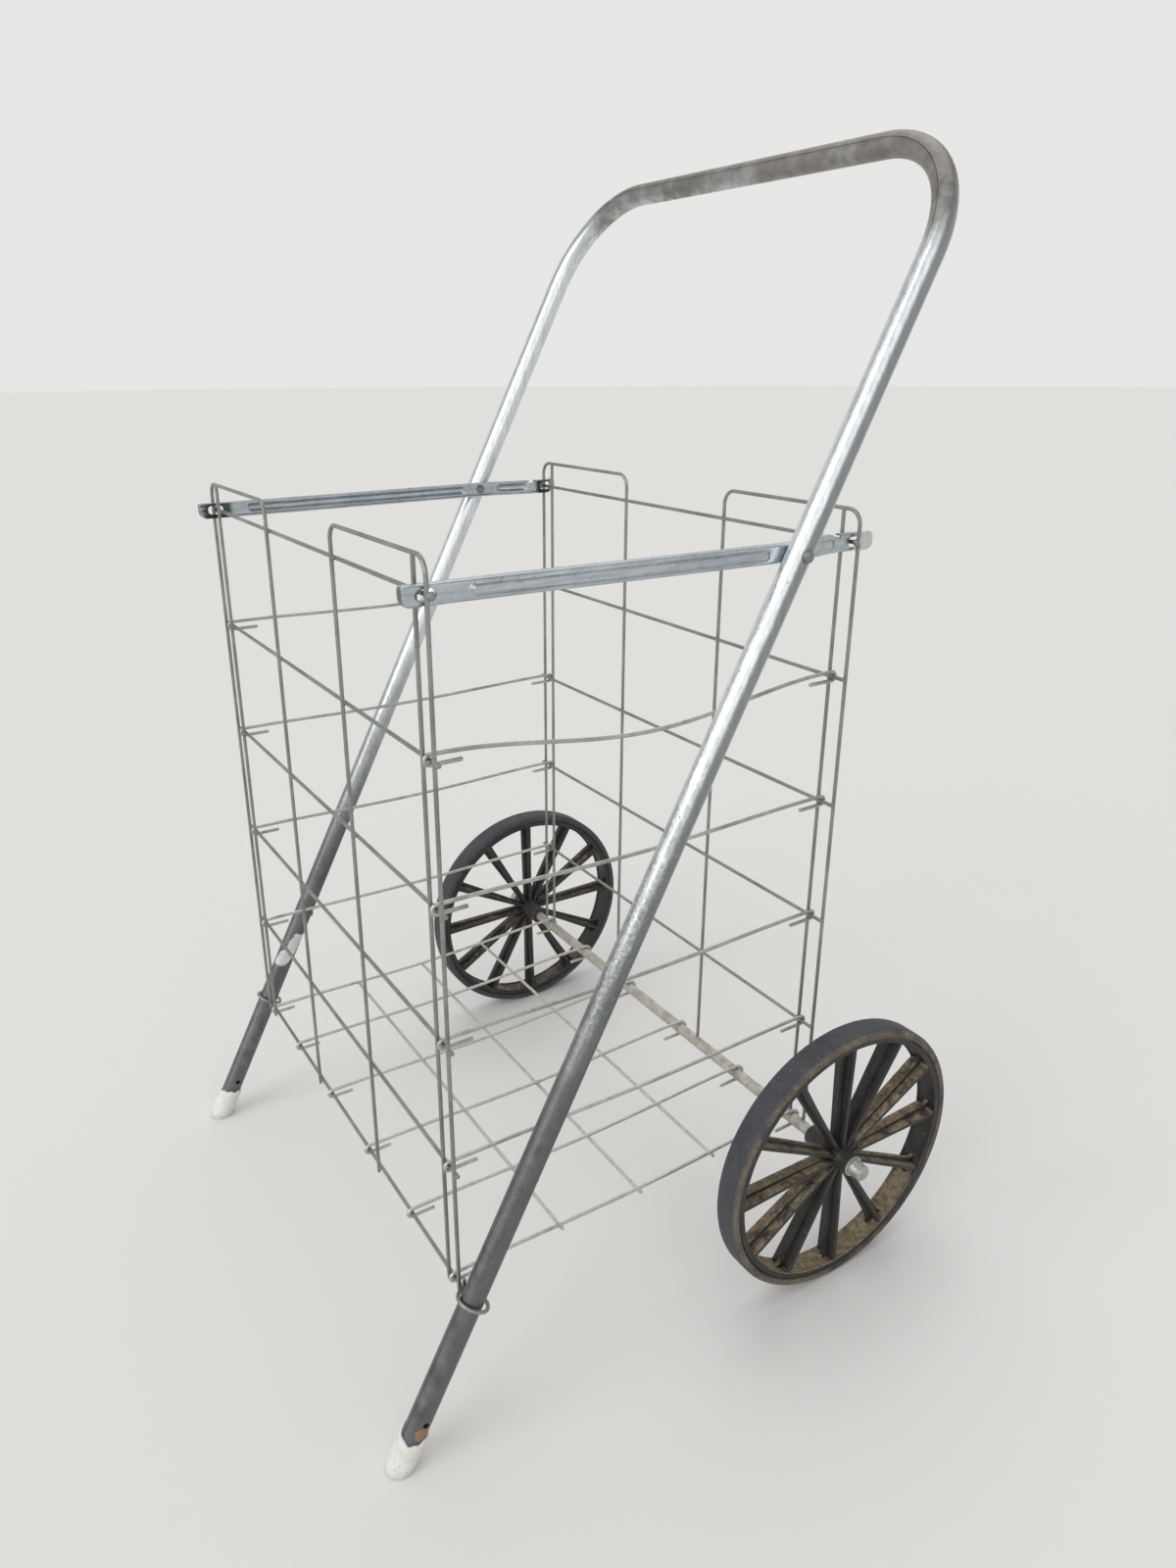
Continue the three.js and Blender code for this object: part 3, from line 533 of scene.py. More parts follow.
def zinc_rail_look():
    look = Look("pressed_zinc", 2.0)
    paint = look.paint
    drawn = paint.stretched(look.place, (1.0, 0.05, 1.0))
    streaks = paint.span(paint.noise(drawn, 360.0, 3.0), 0.35, 0.7)
    cloud = look.effect(PATCHES, "Shade", Scale=30.0, Cover=0.5, Soft=0.1)
    mottle = look.effect(PATCHES, "Shade", Scale=140.0, Cover=0.5, Soft=0.1)
    stains = look.effect(PATCHES, Scale=90.0, Cover=0.26, Soft=0.12)
    pits = look.effect(PITS, Scale=420.0, Cover=0.07, Size=0.22)
    ends = paint.span(look.y, REAR_TOP.y + 0.003, REAR_TOP.y + 0.010)
    outward = paint.times(look.facing_x, paint.math("SIGN", look.x))
    # Painted shade: near black on the inner faces round the windows, and on faces turned to the front.
    front_face_painted_shade = paint.span(look.facing_y, -0.45, -0.9)
    rail_painted_shade = paint.most(paint.span(look.away(look.y, FRONT_TOP.y), 0.016, 0.010),
                        paint.span(look.away(look.y, REAR_TOP.y), 0.012, 0.007))
    rail_painted_shade = paint.times(rail_painted_shade, paint.span(outward, 0.45, 0.15))
    rail_painted_shade = paint.times(rail_painted_shade, paint.span(look.z, FRONT_TOP.z + 0.0068, FRONT_TOP.z + 0.0058))
    rail_painted_shade = paint.most(rail_painted_shade, paint.times(front_face_painted_shade, 0.75))
    base = paint.mix(streaks, colour(0.43, 0.475, 0.51), colour(0.60, 0.645, 0.68))
    base = paint.coat(base, cloud, 0.4, colour(0.36, 0.39, 0.41))
    base = paint.coat(base, stains, 0.4, colour(0.27, 0.275, 0.27))
    pale = paint.mix(mottle, colour(0.52, 0.52, 0.49), colour(0.72, 0.72, 0.69))
    base = paint.coat(base, ends, 0.75, pale)
    # Lays the painted shade over the rail's colour.
    base = paint.coat(base, rail_painted_shade, 0.9, colour(0.030, 0.032, 0.034))
    base = paint.coat(base, pits, 0.8, colour(0.12, 0.09, 0.06))
    rough = paint.plus(0.22, paint.times(mottle, 0.14))
    rough = paint.plus(rough, paint.times(ends, 0.22))
    spoiled = paint.most(pits, paint.times(ends, 0.5))
    look.set(base=base, rough=rough, metal=paint.blend(spoiled, 0.95, 0.4))
    grain = paint.noise(look.place, 700.0, 2.0)
    return look.bump(paint.minus(paint.times(grain, 0.2), pits), 0.0002)


def wire_look(name, fresh, dull, speck_cover, low_pale):
    look = Look(name, 2.0)
    paint = look.paint
    cloud = look.effect(PATCHES, "Shade", Scale=26.0, Cover=0.5, Soft=0.1)
    fine = look.effect(PATCHES, "Shade", Scale=240.0, Cover=0.5, Soft=0.1)
    specks = look.effect(PITS, Scale=620.0, Cover=speck_cover, Size=0.26)
    # Painted shade: near black on the top wire's ends where they run into the rails.
    rung_end_painted_shade = paint.times(paint.span(look.z, REAR_TOP.z - 0.004, REAR_TOP.z - 0.003),
                          paint.span(look.z, REAR_TOP.z + 0.004, REAR_TOP.z + 0.003))
    rung_end_painted_shade = paint.times(rung_end_painted_shade, paint.span(look.away(look.x, 0.0), 0.224, 0.230))
    rung_end_painted_shade = paint.times(rung_end_painted_shade, paint.span(look.away(look.x, 0.0), 0.2364, 0.2358))
    rust = look.effect(PATCHES, Scale=60.0, Cover=0.20, Soft=0.10)
    pale = paint.times(paint.span(look.z, 0.36, 0.15), low_pale)
    base = paint.mix(cloud, dull, fresh)
    base = paint.mix(pale, base, colour(0.68, 0.675, 0.63))
    base = paint.coat(base, fine, 0.30, colour(0.19, 0.195, 0.175))
    base = paint.coat(base, rust, 0.45, colour(0.165, 0.125, 0.09))
    base = paint.coat(base, specks, 0.65, colour(0.14, 0.095, 0.065))
    base = paint.coat(base, rung_end_painted_shade, 0.85, colour(0.030, 0.030, 0.030))
    spoiled = paint.most(specks, paint.times(rust, 0.5))
    rough = paint.blend(spoiled, paint.blend(cloud, 0.50, 0.34), 0.8)
    look.set(base=base, rough=rough, metal=paint.blend(spoiled, 0.92, 0.3))
    return look.bump(paint.plus(paint.noise(look.place, 900.0, 2.0), specks), 0.0002)


def steel_look(name, fresh, dirt, dirt_cover, rough):
    look = Look(name, 2.0)
    paint = look.paint
    cloud = look.effect(PATCHES, "Shade", Scale=60.0, Cover=0.5, Soft=0.1)
    grime = look.effect(PATCHES, Scale=95.0, Cover=dirt_cover, Soft=0.12)
    specks = look.effect(PITS, Scale=520.0, Cover=0.10, Size=0.22)
    base = paint.mix(paint.times(cloud, 0.4), fresh, colour(0.30, 0.30, 0.28))
    base = paint.coat(base, grime, 0.85, dirt)
    base = paint.coat(base, specks, 0.8, colour(0.13, 0.085, 0.05))
    soiled = paint.most(grime, specks)
    look.set(base=base, rough=paint.blend(soiled, rough, 0.75), metal=paint.blend(soiled, 0.9, 0.25))
    return look.bump(paint.plus(paint.noise(look.place, 700.0, 2.0), soiled), 0.0002)


def wheel_look():
    look = Look("wheel_plastic", 1.45)
    paint = look.paint
    cloud = look.effect(PATCHES, "Shade", Scale=34.0, Cover=0.5, Soft=0.1)
    fine = look.effect(PATCHES, "Shade", Scale=210.0, Cover=0.5, Soft=0.1)
    near_side = paint.span(look.x, 0.0, 0.1)
    radius = look.axle_distance()
    rim = paint.span(radius, 0.1135, 0.1165)
    cover = paint.blend(near_side, -0.20, paint.blend(rim, -0.08, 0.20))
    dirt = look.effect(LEDGE_DIRT, Facing=look.facing, Scale=70.0, Cover=cover)
    dirt = paint.times(dirt, paint.span(radius, 0.014, 0.024))
    film = look.effect(PATCHES, Scale=52.0, Cover=0.40, Soft=0.16)
    scuffs = look.effect(PATCHES, Scale=190.0, Cover=0.18, Soft=0.05)
    base = paint.mix(cloud, colour(0.011, 0.011, 0.011), colour(0.028, 0.027, 0.026))
    base = paint.coat(base, film, 0.30, colour(0.085, 0.072, 0.056))
    base = paint.coat(base, scuffs, 0.4, colour(0.11, 0.108, 0.104))
    clay = paint.mix(fine, colour(0.16, 0.125, 0.08), colour(0.40, 0.325, 0.22))
    base = paint.coat(base, dirt, 0.85, clay)
    look.set(base=base, rough=paint.blend(dirt, paint.blend(cloud, 0.42, 0.6), 0.95))
    grain = paint.noise(look.place, 420.0, 4.0)
    return look.bump(paint.plus(paint.times(grain, 0.5), dirt), 0.0006)


def tyre_look():
    look = Look("tyre_rubber", 1.45)
    paint = look.paint
    cloud = look.effect(PATCHES, "Shade", Scale=24.0, Cover=0.5, Soft=0.1)
    fine = look.effect(PATCHES, "Shade", Scale=420.0, Cover=0.5, Soft=0.1)
    scuffs = look.effect(PATCHES, Scale=120.0, Cover=0.34, Soft=0.12)
    specks = look.effect(PITS, Scale=760.0, Cover=0.14, Size=0.34)
    near_side = paint.span(look.x, 0.0, 0.1)
    side_wall = paint.times(paint.span(look.x, TRACK + 0.009, TRACK + 0.0122), near_side)
    caked = paint.times(side_wall, look.effect(PATCHES, Scale=22.0, Cover=0.50, Soft=0.14))
    base = paint.mix(cloud, colour(0.026, 0.028, 0.034), colour(0.050, 0.053, 0.062))
    base = paint.coat(base, fine, 0.35, colour(0.075, 0.078, 0.086))
    base = paint.coat(base, scuffs, 0.40, colour(0.105, 0.108, 0.115))
    base = paint.coat(base, specks, 0.5, colour(0.24, 0.24, 0.235))
    clay = paint.mix(fine, colour(0.15, 0.115, 0.075), colour(0.30, 0.245, 0.17))
    base = paint.coat(base, caked, 0.7, clay)
    look.set(base=base, rough=paint.blend(scuffs, 0.60, 0.85))
    grain = paint.noise(look.place, 620.0, 4.0)
    return look.bump(paint.minus(grain, paint.times(scuffs, 0.4)), 0.0004)


def foot_cap_look():
    look = Look("foot_plastic", 1.46)
    paint = look.paint
    cloud = look.effect(PATCHES, "Shade", Scale=90.0, Cover=0.5, Soft=0.1)
    stains = look.effect(PATCHES, Scale=150.0, Cover=0.30, Soft=0.12)
    specks = look.effect(PITS, Scale=620.0, Cover=0.14, Size=0.34)
    low = paint.span(look.z, 0.010, 0.0)
    base = paint.mix(cloud, colour(0.74, 0.73, 0.70), colour(0.84, 0.835, 0.81))
    base = paint.coat(base, stains, 0.22, colour(0.46, 0.42, 0.35))
    base = paint.coat(base, low, 0.35, colour(0.36, 0.32, 0.27))
    base = paint.coat(base, specks, 0.6, colour(0.20, 0.17, 0.14))
    look.set(base=base, rough=paint.blend(stains, 0.5, 0.75))
    grain = paint.noise(look.place, 500.0, 4.0)
    return look.bump(grain, 0.0003)


TUBE_LOOK = zinc_tube_look()
RAIL_LOOK = zinc_rail_look()
PANEL_LOOK = wire_look("panel_wire", colour(0.36, 0.375, 0.355), colour(0.24, 0.25, 0.235), 0.16, 0.0)
SIDE_LOOK = wire_look("side_wire", colour(0.58, 0.585, 0.56), colour(0.40, 0.405, 0.385), 0.13, 0.6)
RIVET_LOOK = steel_look("rivet_steel", colour(0.21, 0.23, 0.225), colour(0.12, 0.105, 0.085), 0.25, 0.40)
AXLE_LOOK = steel_look("axle_steel", colour(0.56, 0.55, 0.50), colour(0.30, 0.265, 0.21), 0.40, 0.5)
CAP_LOOK = steel_look("cap_steel", colour(0.47, 0.48, 0.48), colour(0.25, 0.225, 0.18), 0.25, 0.42)
WHEEL_LOOK = wheel_look()
TYRE_LOOK = tyre_look()
FOOT_LOOK = foot_cap_look()


# Wire panels

WIRE_SIDES = 12


def wire(bm, start, heading, normal):
    return Pull(bm, WIRE, WIRE_SIDES, start, heading, normal)


def wire_panel(name, side, lowest, bottom, body, node):
    bm = bmesh.new()
    stand_off = PANEL_REAR * (side * (2 * WIRE - WELD_SINK))
    top = (LEVELS - 1) * PITCH + LOOP_RISE
    uprights = []
    for hand in (-1, 1):
        start = pivot(side, 0, hand * CORNER_X) + stand_off + PANEL_UP * bottom
        inward = -hand * math.pi / 2
        rise = top - LOOP_BEND - bottom
        loop = wire(bm, start, PANEL_UP, PANEL_REAR).run(rise, 12).bend(inward, LOOP_BEND, 8)
        loop.run(LOOP_WIDTH - 2 * LOOP_BEND, 4).bend(inward, LOOP_BEND, 8).run(rise, 12).close()
        inner = hand * (CORNER_X - PAIR_GAP)
        start = pivot(side, 0, inner) + stand_off + PANEL_UP * bottom
        wire(bm, start, PANEL_UP, PANEL_REAR).run(top - bottom, 12).close()
        uprights += [hand * CORNER_X, hand * (CORNER_X - LOOP_WIDTH), inner]
    reach = CORNER_X + WIRE
    for level in range(lowest, LEVELS):
        wire(bm, pivot(side, level, -reach), X_AXIS, PANEL_REAR).run(2 * reach, 8).close()
        for x in uprights:
            weld_spot(bm, pivot(side, level, x) + stand_off * 0.5, WELD)
    for hand in (-1, 1):
        head = [(0.0, -0.0022), (0.0016, -0.0022), (0.0029, -0.0014), (0.0031, -0.0007), (0.0029, 0.0),
                (0.0020, 0.0007), (0.0, 0.0009)]
        turned(bm, head, pivot(side, LEVELS - 1, hand * reach), X_AXIS * hand, 20)
    return make(name, bm, body, PANEL_LOOK, [node])


wire_panel("front_wire_panel", -1, 0, -FRONT_DROP, "front_frame", "front_panel")
wire_panel("rear_wire_panel", 1, 1, AXLE + GAP, "rear_frame", "rear_panel")

# Hooked side wires: how far each one has sagged, by side and level
SAGS = {
    ("right", 1): 0.0030, ("right", 2): 0.0036, ("right", 3): 0.0042, ("right", 4): 0.0170,
    ("left", 1): 0.0026, ("left", 2): 0.0034, ("left", 3): 0.0030, ("left", 4): 0.0038,
}


def let_sag(bm, front, rear, level, depth):
    """Lowers the middle of the run above a level between two hooks."""
    for vert in bm.verts:
        share = (vert.co.y - front) / (rear - front)
        if 0 < share < 1 and vert.co.z > level:
            vert.co.z -= depth * math.sin(math.pi * share) ** 2


for (side_name, level), sag in SAGS.items():
    bm = bmesh.new()
    x = SIDE_X if side_name == "right" else -SIDE_X
    front = pivot(-1, level, x)
    start = front + Vector((0, SIDE_TAIL, -HOOK))
    hooked = wire(bm, start, -Y_AXIS, X_AXIS).run(SIDE_TAIL, 2).bend(-math.pi, HOOK, 12)
    hooked.run(DEPTH, 30).bend(-math.pi, HOOK, 12).run(SIDE_TAIL, 2).close()
    let_sag(bm, front.y, front.y + DEPTH, front.z, sag)
    make(f"hooked_wire_{side_name}_{level}", bm, f"side_wires_{level}", SIDE_LOOK,
         [f"side_wire_{side_name}_{level}"])


def wire_floor():
    bm = bmesh.new()
    slope = math.asin((AXLE_HOOK - HOOK) / DEPTH)
    for x in FLOOR_X:
        for hand in (-1, 1):
            start = pivot(1, 0, hand * x) - Vector((0, FLOOR_TAIL, AXLE_HOOK))
            rod = wire(bm, start, Y_AXIS, X_AXIS).run(FLOOR_TAIL, 2)
            rod.bend(math.pi + slope, AXLE_HOOK, 14).run(DEPTH * math.cos(slope), 24)
            rod.bend(math.pi - slope, HOOK, 12).run(FLOOR_TAIL, 2).close()
    middle = (pivot(1, 0) + pivot(-1, 0)) / 2
    middle.z += (AXLE_HOOK + HOOK) / 2
    reach = SIDE_X + 2 * WIRE
    for i in (-1, 0, 1):
        y = i * FLOOR_PITCH
        drop = y * math.tan(slope) - (2 * WIRE - WELD_SINK)
        start = middle + Vector((-reach, y, drop))
        wire(bm, start, X_AXIS, Z_AXIS).run(2 * reach, 12).close()
        for x in FLOOR_X:
            for hand in (-1, 1):
                weld_spot(bm, start + Vector((reach + hand * x, 0, WIRE)), WELD)
    for vert in bm.verts:
        share = (vert.co.y - (REAR_FOOT.y - DEPTH)) / DEPTH
        if 0 < share < 1 and vert.co.z > REAR_FOOT.z:
            vert.co.z -= 0.004 * math.sin(math.pi * share) ** 2
    return make("wire_floor", bm, "floor", SIDE_LOOK, ["floor_panel"])


wire_floor()


def guide_ring(hand):
    """Wire bent round the leg, with its end standing up against the panel's corner."""
    bm = bmesh.new()
    centre = leg_point(RING_POINT.z, hand) - LEG_FRONT * RING_OFFSET
    start = centre - X_AXIS * (hand * RING)
    ring = Pull(bm, WIRE, WIRE_SIDES, start, LEG_FRONT, LEG_UP)
    ring.bend(hand * math.radians(345), RING, 48).close()
    tail = start + LEG_FRONT * 0.001
    Pull(bm, WIRE, WIRE_SIDES, tail, PANEL_UP, X_AXIS).run(0.012, 3).close()
    weld_spot(bm, start - X_AXIS * (hand * 0.0012), WELD)
    side = side_of(hand)
    return make(f"leg_ring_{side}", bm, "guide_rings", PANEL_LOOK, [f"guide_ring_{side}"])


# Handle

TUBE_SIDES = 40
SEAM_HALF = 0.00028
SEAM_DEPTH = 0.0006


def with_seam(bm, ring):
    """Folds a narrow groove into the section, where the strip's edges meet."""
    middle = max(ring, key=lambda vert: vert.co.x)
    beside = [edge.other_vert(middle) for edge in middle.link_edges]
    for vert in beside:
        vert.co.y = math.copysign(SEAM_HALF, vert.co.y)
        vert.co.x = TUBE
    middle.co.x = TUBE - SEAM_DEPTH


# Knocks in the tube: height, side, angle round the leg from its front, radius, depth
KNOCKS = (
    (0.706, 1, 42, 0.0040, 0.0009),
    (0.626, 1, 55, 0.0045, 0.0008),
    (0.520, 1, 30, 0.0050, 0.0007),
    (0.474, 1, 62, 0.0060, 0.0006),
    (0.402, 1, 48, 0.0050, 0.0007),
    (0.360, 1, 75, 0.0070, 0.0006),
    (0.610, -1, 20, 0.0050, 0.0008),
    (0.300, -1, 60, 0.0060, 0.0007),
)


def knock(bm, height, hand, turn, radius, depth):
    """Pushes a small dent into a leg."""
    middle = leg_point(height, hand)
    angle = math.radians(turn)
    out = LEG_FRONT * math.cos(angle) + X_AXIS * (hand * math.sin(angle))
    hit = middle + out * TUBE
    for vert in bm.verts:
        gap = (vert.co - hit).length
        if gap < radius:
            vert.co -= out * (depth * math.cos(gap / radius * math.pi / 2) ** 2)


def handle_tube():
    bm = bmesh.new()
    bar = BAR_TOP - TUBE
    start = leg_point(0) + LEG_UP * (CAP_PAD + GAP)
    leg = (leg_point(bar) - start).dot(LEG_UP) - BAR_BEND
    tube = Pull(bm, TUBE, TUBE_SIDES, start, LEG_UP, LEG_FRONT, with_seam)
    tube.run(leg, 200).bend(math.pi / 2, BAR_BEND, 24).run(2 * (LEG_X - BAR_BEND), 30)
    tube.bend(math.pi / 2, BAR_BEND, 24).run(leg, 200).close(0.05)
    for values in KNOCKS:
        knock(bm, *values)
    drill = bmesh.new()
    centre = leg_point(FOOT_HOLE_HEIGHT)
    turn = Matrix.Translation((0, centre.y, centre.z)) @ Matrix.Rotation(math.pi / 2, 4, "Y")
    bmesh.ops.create_cone(
        drill, cap_ends=True, segments=24, radius1=FOOT_HOLE, radius2=FOOT_HOLE, depth=0.6, matrix=turn
    )
    mesh = bpy.data.meshes.new("drill")
    drill.to_mesh(mesh)
    drill.free()
    cutter = bpy.data.objects.new("drill", mesh)
    bpy.context.scene.collection.objects.link(cutter)
    holes = ("BOOLEAN", {"operation": "DIFFERENCE", "object": cutter, "solver": "EXACT"})
    piece = make("bent_handle_tube", bm, "handle", TUBE_LOOK, ["handle_frame"], [holes])
    bpy.data.objects.remove(cutter)
    return piece


handle_tube()


def leg_rivet(hand):
    bm = bmesh.new()
    place = leg_point(LEG_RIVET_HEIGHT, hand) - LEG_FRONT * TUBE
    profile = [(0.0, -0.002), (0.0018, -0.002), (0.0018, 0.0002), (0.0035, 0.0002)]
    profile += dome(0.0035, 0.0005, 0.0017, 6)
    turned(bm, profile, place, -LEG_FRONT, 24)
    side = side_of(hand)
    return make(f"leg_rivet_dome_{side}", bm, "handle", CAP_LOOK, [f"leg_rivet_{side}"])


def rail_rivet(hand):
    bm = bmesh.new()
    web = LEG_X - TUBE - 2 * GAP - 0.0012
    face = LEG_X + TUBE - 0.0002
    profile = [(0.0, web - 0.0017), (0.0034, web - 0.0017), (0.0040, web - 0.0011), (0.0040, web),
               (0.0025, web), (0.0025, face), (0.0050, face)]
    profile += dome(0.0050, face + 0.0006, 0.0030, 7)
    turned(bm, profile, RIVET.copy(), X_AXIS * hand, 28)
    side = side_of(hand)
    return make(f"rail_rivet_dome_{side}", bm, "handle", RIVET_LOOK, [f"rail_rivet_{side}"])


def foot_cap(hand):
    """Thin moulded sleeve, split from its rim and worn flat on the ground."""
    bm = bmesh.new()
    bore = TUBE + GAP
    outer = bore + 0.0018
    profile = [(0.0, -0.004)] + arc((outer - 0.0035, -0.0005), 0.0040, -90, 0, 5)
    profile += [(outer + 0.0003, 0.012), (outer, 0.022), (outer - 0.0002, CAP_LENGTH - 0.0008)]
    profile += [(outer - 0.0008, CAP_LENGTH), (bore, CAP_LENGTH), (bore, CAP_PAD), (0.0, CAP_PAD)]
    place = leg_point(0, hand)
    turned(bm, profile, place, LEG_UP, 48)
    front = LEG_FRONT
    for vert in bm.verts:
        local = vert.co - place
        along = local.dot(LEG_UP)
        around = math.atan2(local.dot(X_AXIS) * hand, local.dot(front))
        if along > 0.018:
            ragged = noise.noise((around * 1.7, hand * 3.0, 0.0)) * 0.004
            slope = 0.006 * math.cos(around - 0.7)
            vert.co += LEG_UP * ((ragged - 0.5 * abs(slope) - 0.5 * slope) * (along - 0.018) / 0.015)
    cut = bmesh.ops.bisect_plane(
        bm, geom=bm.verts[:] + bm.edges[:] + bm.faces[:], plane_co=(0, 0, 0), plane_no=(0, 0, -1),
        clear_outer=True,
    )["geom_cut"]
    bmesh.ops.contextual_create(bm, geom=[item for item in cut if isinstance(item, bmesh.types.BMEdge)])
    side = side_of(hand)
    return make(f"foot_sleeve_{side}", bm, "handle", FOOT_LOOK, [f"foot_cap_{side}"])


# Pressed rails

RAIL_HALF = 0.007
SHEET = 0.0012
FLANGE = 0.008
FRONT_LUG = 0.018
REAR_LUG = 0.016
LUG_CORNER = 0.0065
LUG_TOP_CORNER = 0.0025
REAR_CORNER = 0.0045
RAIL_FOLD = 0.002
BEAD_WIDTH = 0.0044
BEAD_RISE = 0.0024
WINDOW_HALF = 0.004
TAB_FLARE = 0.42
PAD = 0.009
KNEE = 0.018


def rail_section():
    """(up, out) pairs across the pressed sheet, from the lower lip to the upper one."""
    lower = [(-RAIL_HALF, RAIL_FOLD - FLANGE + depth) for depth in (0.0, 0.002, 0.004)]
    bend = [
        (RAIL_FOLD - RAIL_HALF - RAIL_FOLD * math.cos(a), RAIL_FOLD * (math.sin(a) - 1))
        for a in (0.0, 0.4, 0.8, 1.2)
    ]
    web = [(i * 0.0005, 0.0) for i in range(-10, 11)]
    upper = [(-up, out) for up, out in reversed(lower + bend)]
    return lower + bend + web + upper


def corner_cut(room, radius):
    """How far a round corner has drawn the edge in, at a distance from the end."""
    left = max(radius - room, 0.0)
    return radius - math.sqrt(max(radius ** 2 - left ** 2, 0.0))


def rail_stations():
    """(along, back) pairs: places along a rail, and how far its front end is folded back there."""
    start, end = FRONT_TOP.y - FRONT_LUG, REAR_TOP.y + REAR_LUG
    places = [(start, depth) for depth in (0.006, 0.004, 0.0028)]
    ys = [start + LUG_CORNER * (1 - math.cos(a / 9 * math.pi / 2)) for a in range(10)]
    y = ys[-1]
    while y < end - REAR_CORNER - 1e-6:
        gap = min(abs(y - FRONT_TOP.y), abs(y - REAR_TOP.y))
        step = 0.0005 if gap < 0.013 else 0.001 if min(gap, abs(y - RIVET.y)) < 0.04 else 0.004
        y = min(y + step, end - REAR_CORNER)
        ys.append(y)
    ys += [end - REAR_CORNER * (1 - math.sin(a / 6 * math.pi / 2)) for a in range(1, 7)]
    return places + [(y, corner_cut(y - start, RAIL_FOLD)) for y in ys]


def bead_height(y, up, beads):
    """Rise of the pressed bead above the web."""
    crown = (BEAD_WIDTH ** 2 + BEAD_RISE ** 2) / (2 * BEAD_RISE)
    gaps = [math.hypot(max(first - y, y - last, 0.0), up) for first, last in beads]
    return max(0.0, math.sqrt(max(crown ** 2 - min(gaps) ** 2, 0.0)) - (crown - BEAD_RISE))


def window_room(window, y, up):
    """How far a point lies inside a window with round ends, negative outside."""
    low, high = window
    past = max(low + WINDOW_HALF - y, y - high + WINDOW_HALF, 0.0)
    return WINDOW_HALF - math.hypot(past, up)


def round_window(vert, windows):
    """Draws a vertex on a window's stepped edge onto its round outline."""
    up = vert.co.z - REAR_TOP.z
    for window in windows:
        room = window_room(window, vert.co.y, up)
        if abs(room) < 0.0009:
            before = max(window[0] + WINDOW_HALF - vert.co.y, 0.0)
            past = before - max(vert.co.y - window[1] + WINDOW_HALF, 0.0)
            out = Vector((0, -past, up)).normalized()
            vert.co += out * room


def rail(hand):
    bm = bmesh.new()
    section = rail_section()
    stations = rail_stations()
    bmesh.ops.create_grid(bm, x_segments=len(section) - 1, y_segments=len(stations) - 1, size=0.5)
    corner_web = CORNER_X - WIRE - 0.0016
    rivet_web = LEG_X - TUBE - GAP
    knee_front, knee_rear = FRONT_TOP.y + KNEE, REAR_TOP.y - KNEE
    pad_front, pad_rear = RIVET.y - PAD, RIVET.y + PAD
    beads = ((knee_front + 0.014, pad_front - 0.014), (pad_rear + 0.014, knee_rear - 0.007))
    start, end = stations[0][0], stations[-1][0]
    ordered = sorted(bm.verts, key=lambda vert: (round(vert.co.y, 6), round(vert.co.x, 6)))
    for index, vert in enumerate(ordered):
        row, column = divmod(index, len(section))
        y, back = stations[row]
        up, out = section[column]
        tab = max(0.0, min(1.0, (y - REAR_TOP.y - 0.002) / 0.008))
        out = min(out * (1 - 0.9 * tab), -back)
        share = min((y - knee_front) / (pad_front - knee_front), (knee_rear - y) / (knee_rear - pad_rear))
        share = max(0.0, min(share, 1.0))
        share = share * share * (3 - 2 * share) * 0.35 + share * 0.65
        x = corner_web + (rivet_web - corner_web) * share + bead_height(y, up, beads)
        rear_cut = corner_cut(end - y, REAR_CORNER)
        low = max(corner_cut(y - start, LUG_CORNER), rear_cut) - RAIL_HALF
        high = RAIL_HALF - max(corner_cut(y - start, LUG_TOP_CORNER), rear_cut)
        flare = max(0.0, y - REAR_TOP.y - 0.0045)
        up = (high + low) / 2 + up * (high - low) / (2 * RAIL_HALF) + flare * 0.12
        vert.co = Vector((hand * (x + flare * TAB_FLARE + out), y, REAR_TOP.z + up))
    windows = ((FRONT_TOP.y - 0.009, FRONT_TOP.y + 0.0055), (REAR_TOP.y - 0.005, REAR_TOP.y + 0.0085))
    notch = (REAR_TOP.y - 0.021, REAR_TOP.y - 0.013)
    holes = []
    for face in bm.faces:
        middle = face.calc_center_median()
        up = middle.z - REAR_TOP.z
        in_window = any(window_room(window, middle.y, up) > 0 for window in windows)
        in_notch = notch[0] + max(0.0, 0.007 - up) * 0.5 < middle.y < notch[1] and up > 0.0042
        if in_window or in_notch:
            holes.append(face)
    bmesh.ops.delete(bm, geom=holes, context="FACES")
    bmesh.ops.remove_doubles(bm, verts=bm.verts, dist=2e-5)
    for vert in bm.verts:
        if vert.is_boundary:
            round_window(vert, windows)
    side = side_of(hand)
    sheet = ("SOLIDIFY", {"thickness": SHEET, "offset": -1.0, "use_even_offset": True})
    edge = ("BEVEL", {"width": 0.0002, "segments": 2, "limit_method": "ANGLE", "angle_limit": 0.9})
    return make(f"pressed_rail_{side}", bm, "rails", RAIL_LOOK, [f"rail_{side}"],
                [sheet, edge], facing=X_AXIS * hand)


# Wheels and axle

def wheel_place(hand):
    return REAR_FOOT + X_AXIS * (hand * TRACK)


def tyre(hand):
    bm = bmesh.new()
    half = TYRE_HALF
    bore = WHEEL - TYRE
    profile = [(bore, -half + 0.0022), (bore + 0.0008, -half + 0.0009)]
    profile += arc((WHEEL - 0.0055, -half + 0.0055), 0.0055, -78, -12, 7)
    profile += [(WHEEL - 0.0001, -0.003), (WHEEL, -0.0006), (WHEEL - 0.0002, 0.0), (WHEEL, 0.0006),
                (WHEEL - 0.0001, 0.003)]
    profile += arc((WHEEL - 0.0055, half - 0.0055), 0.0055, 12, 78, 7)
    profile += [(bore + 0.0008, half - 0.0009), (bore, half - 0.0022)]
    turned(bm, profile, wheel_place(hand), X_AXIS * hand, 128, closed=True)
    side = side_of(hand)
    return make(f"rubber_tyre_{side}", bm, f"wheel_{side}", TYRE_LOOK, [f"tyre_{side}"])


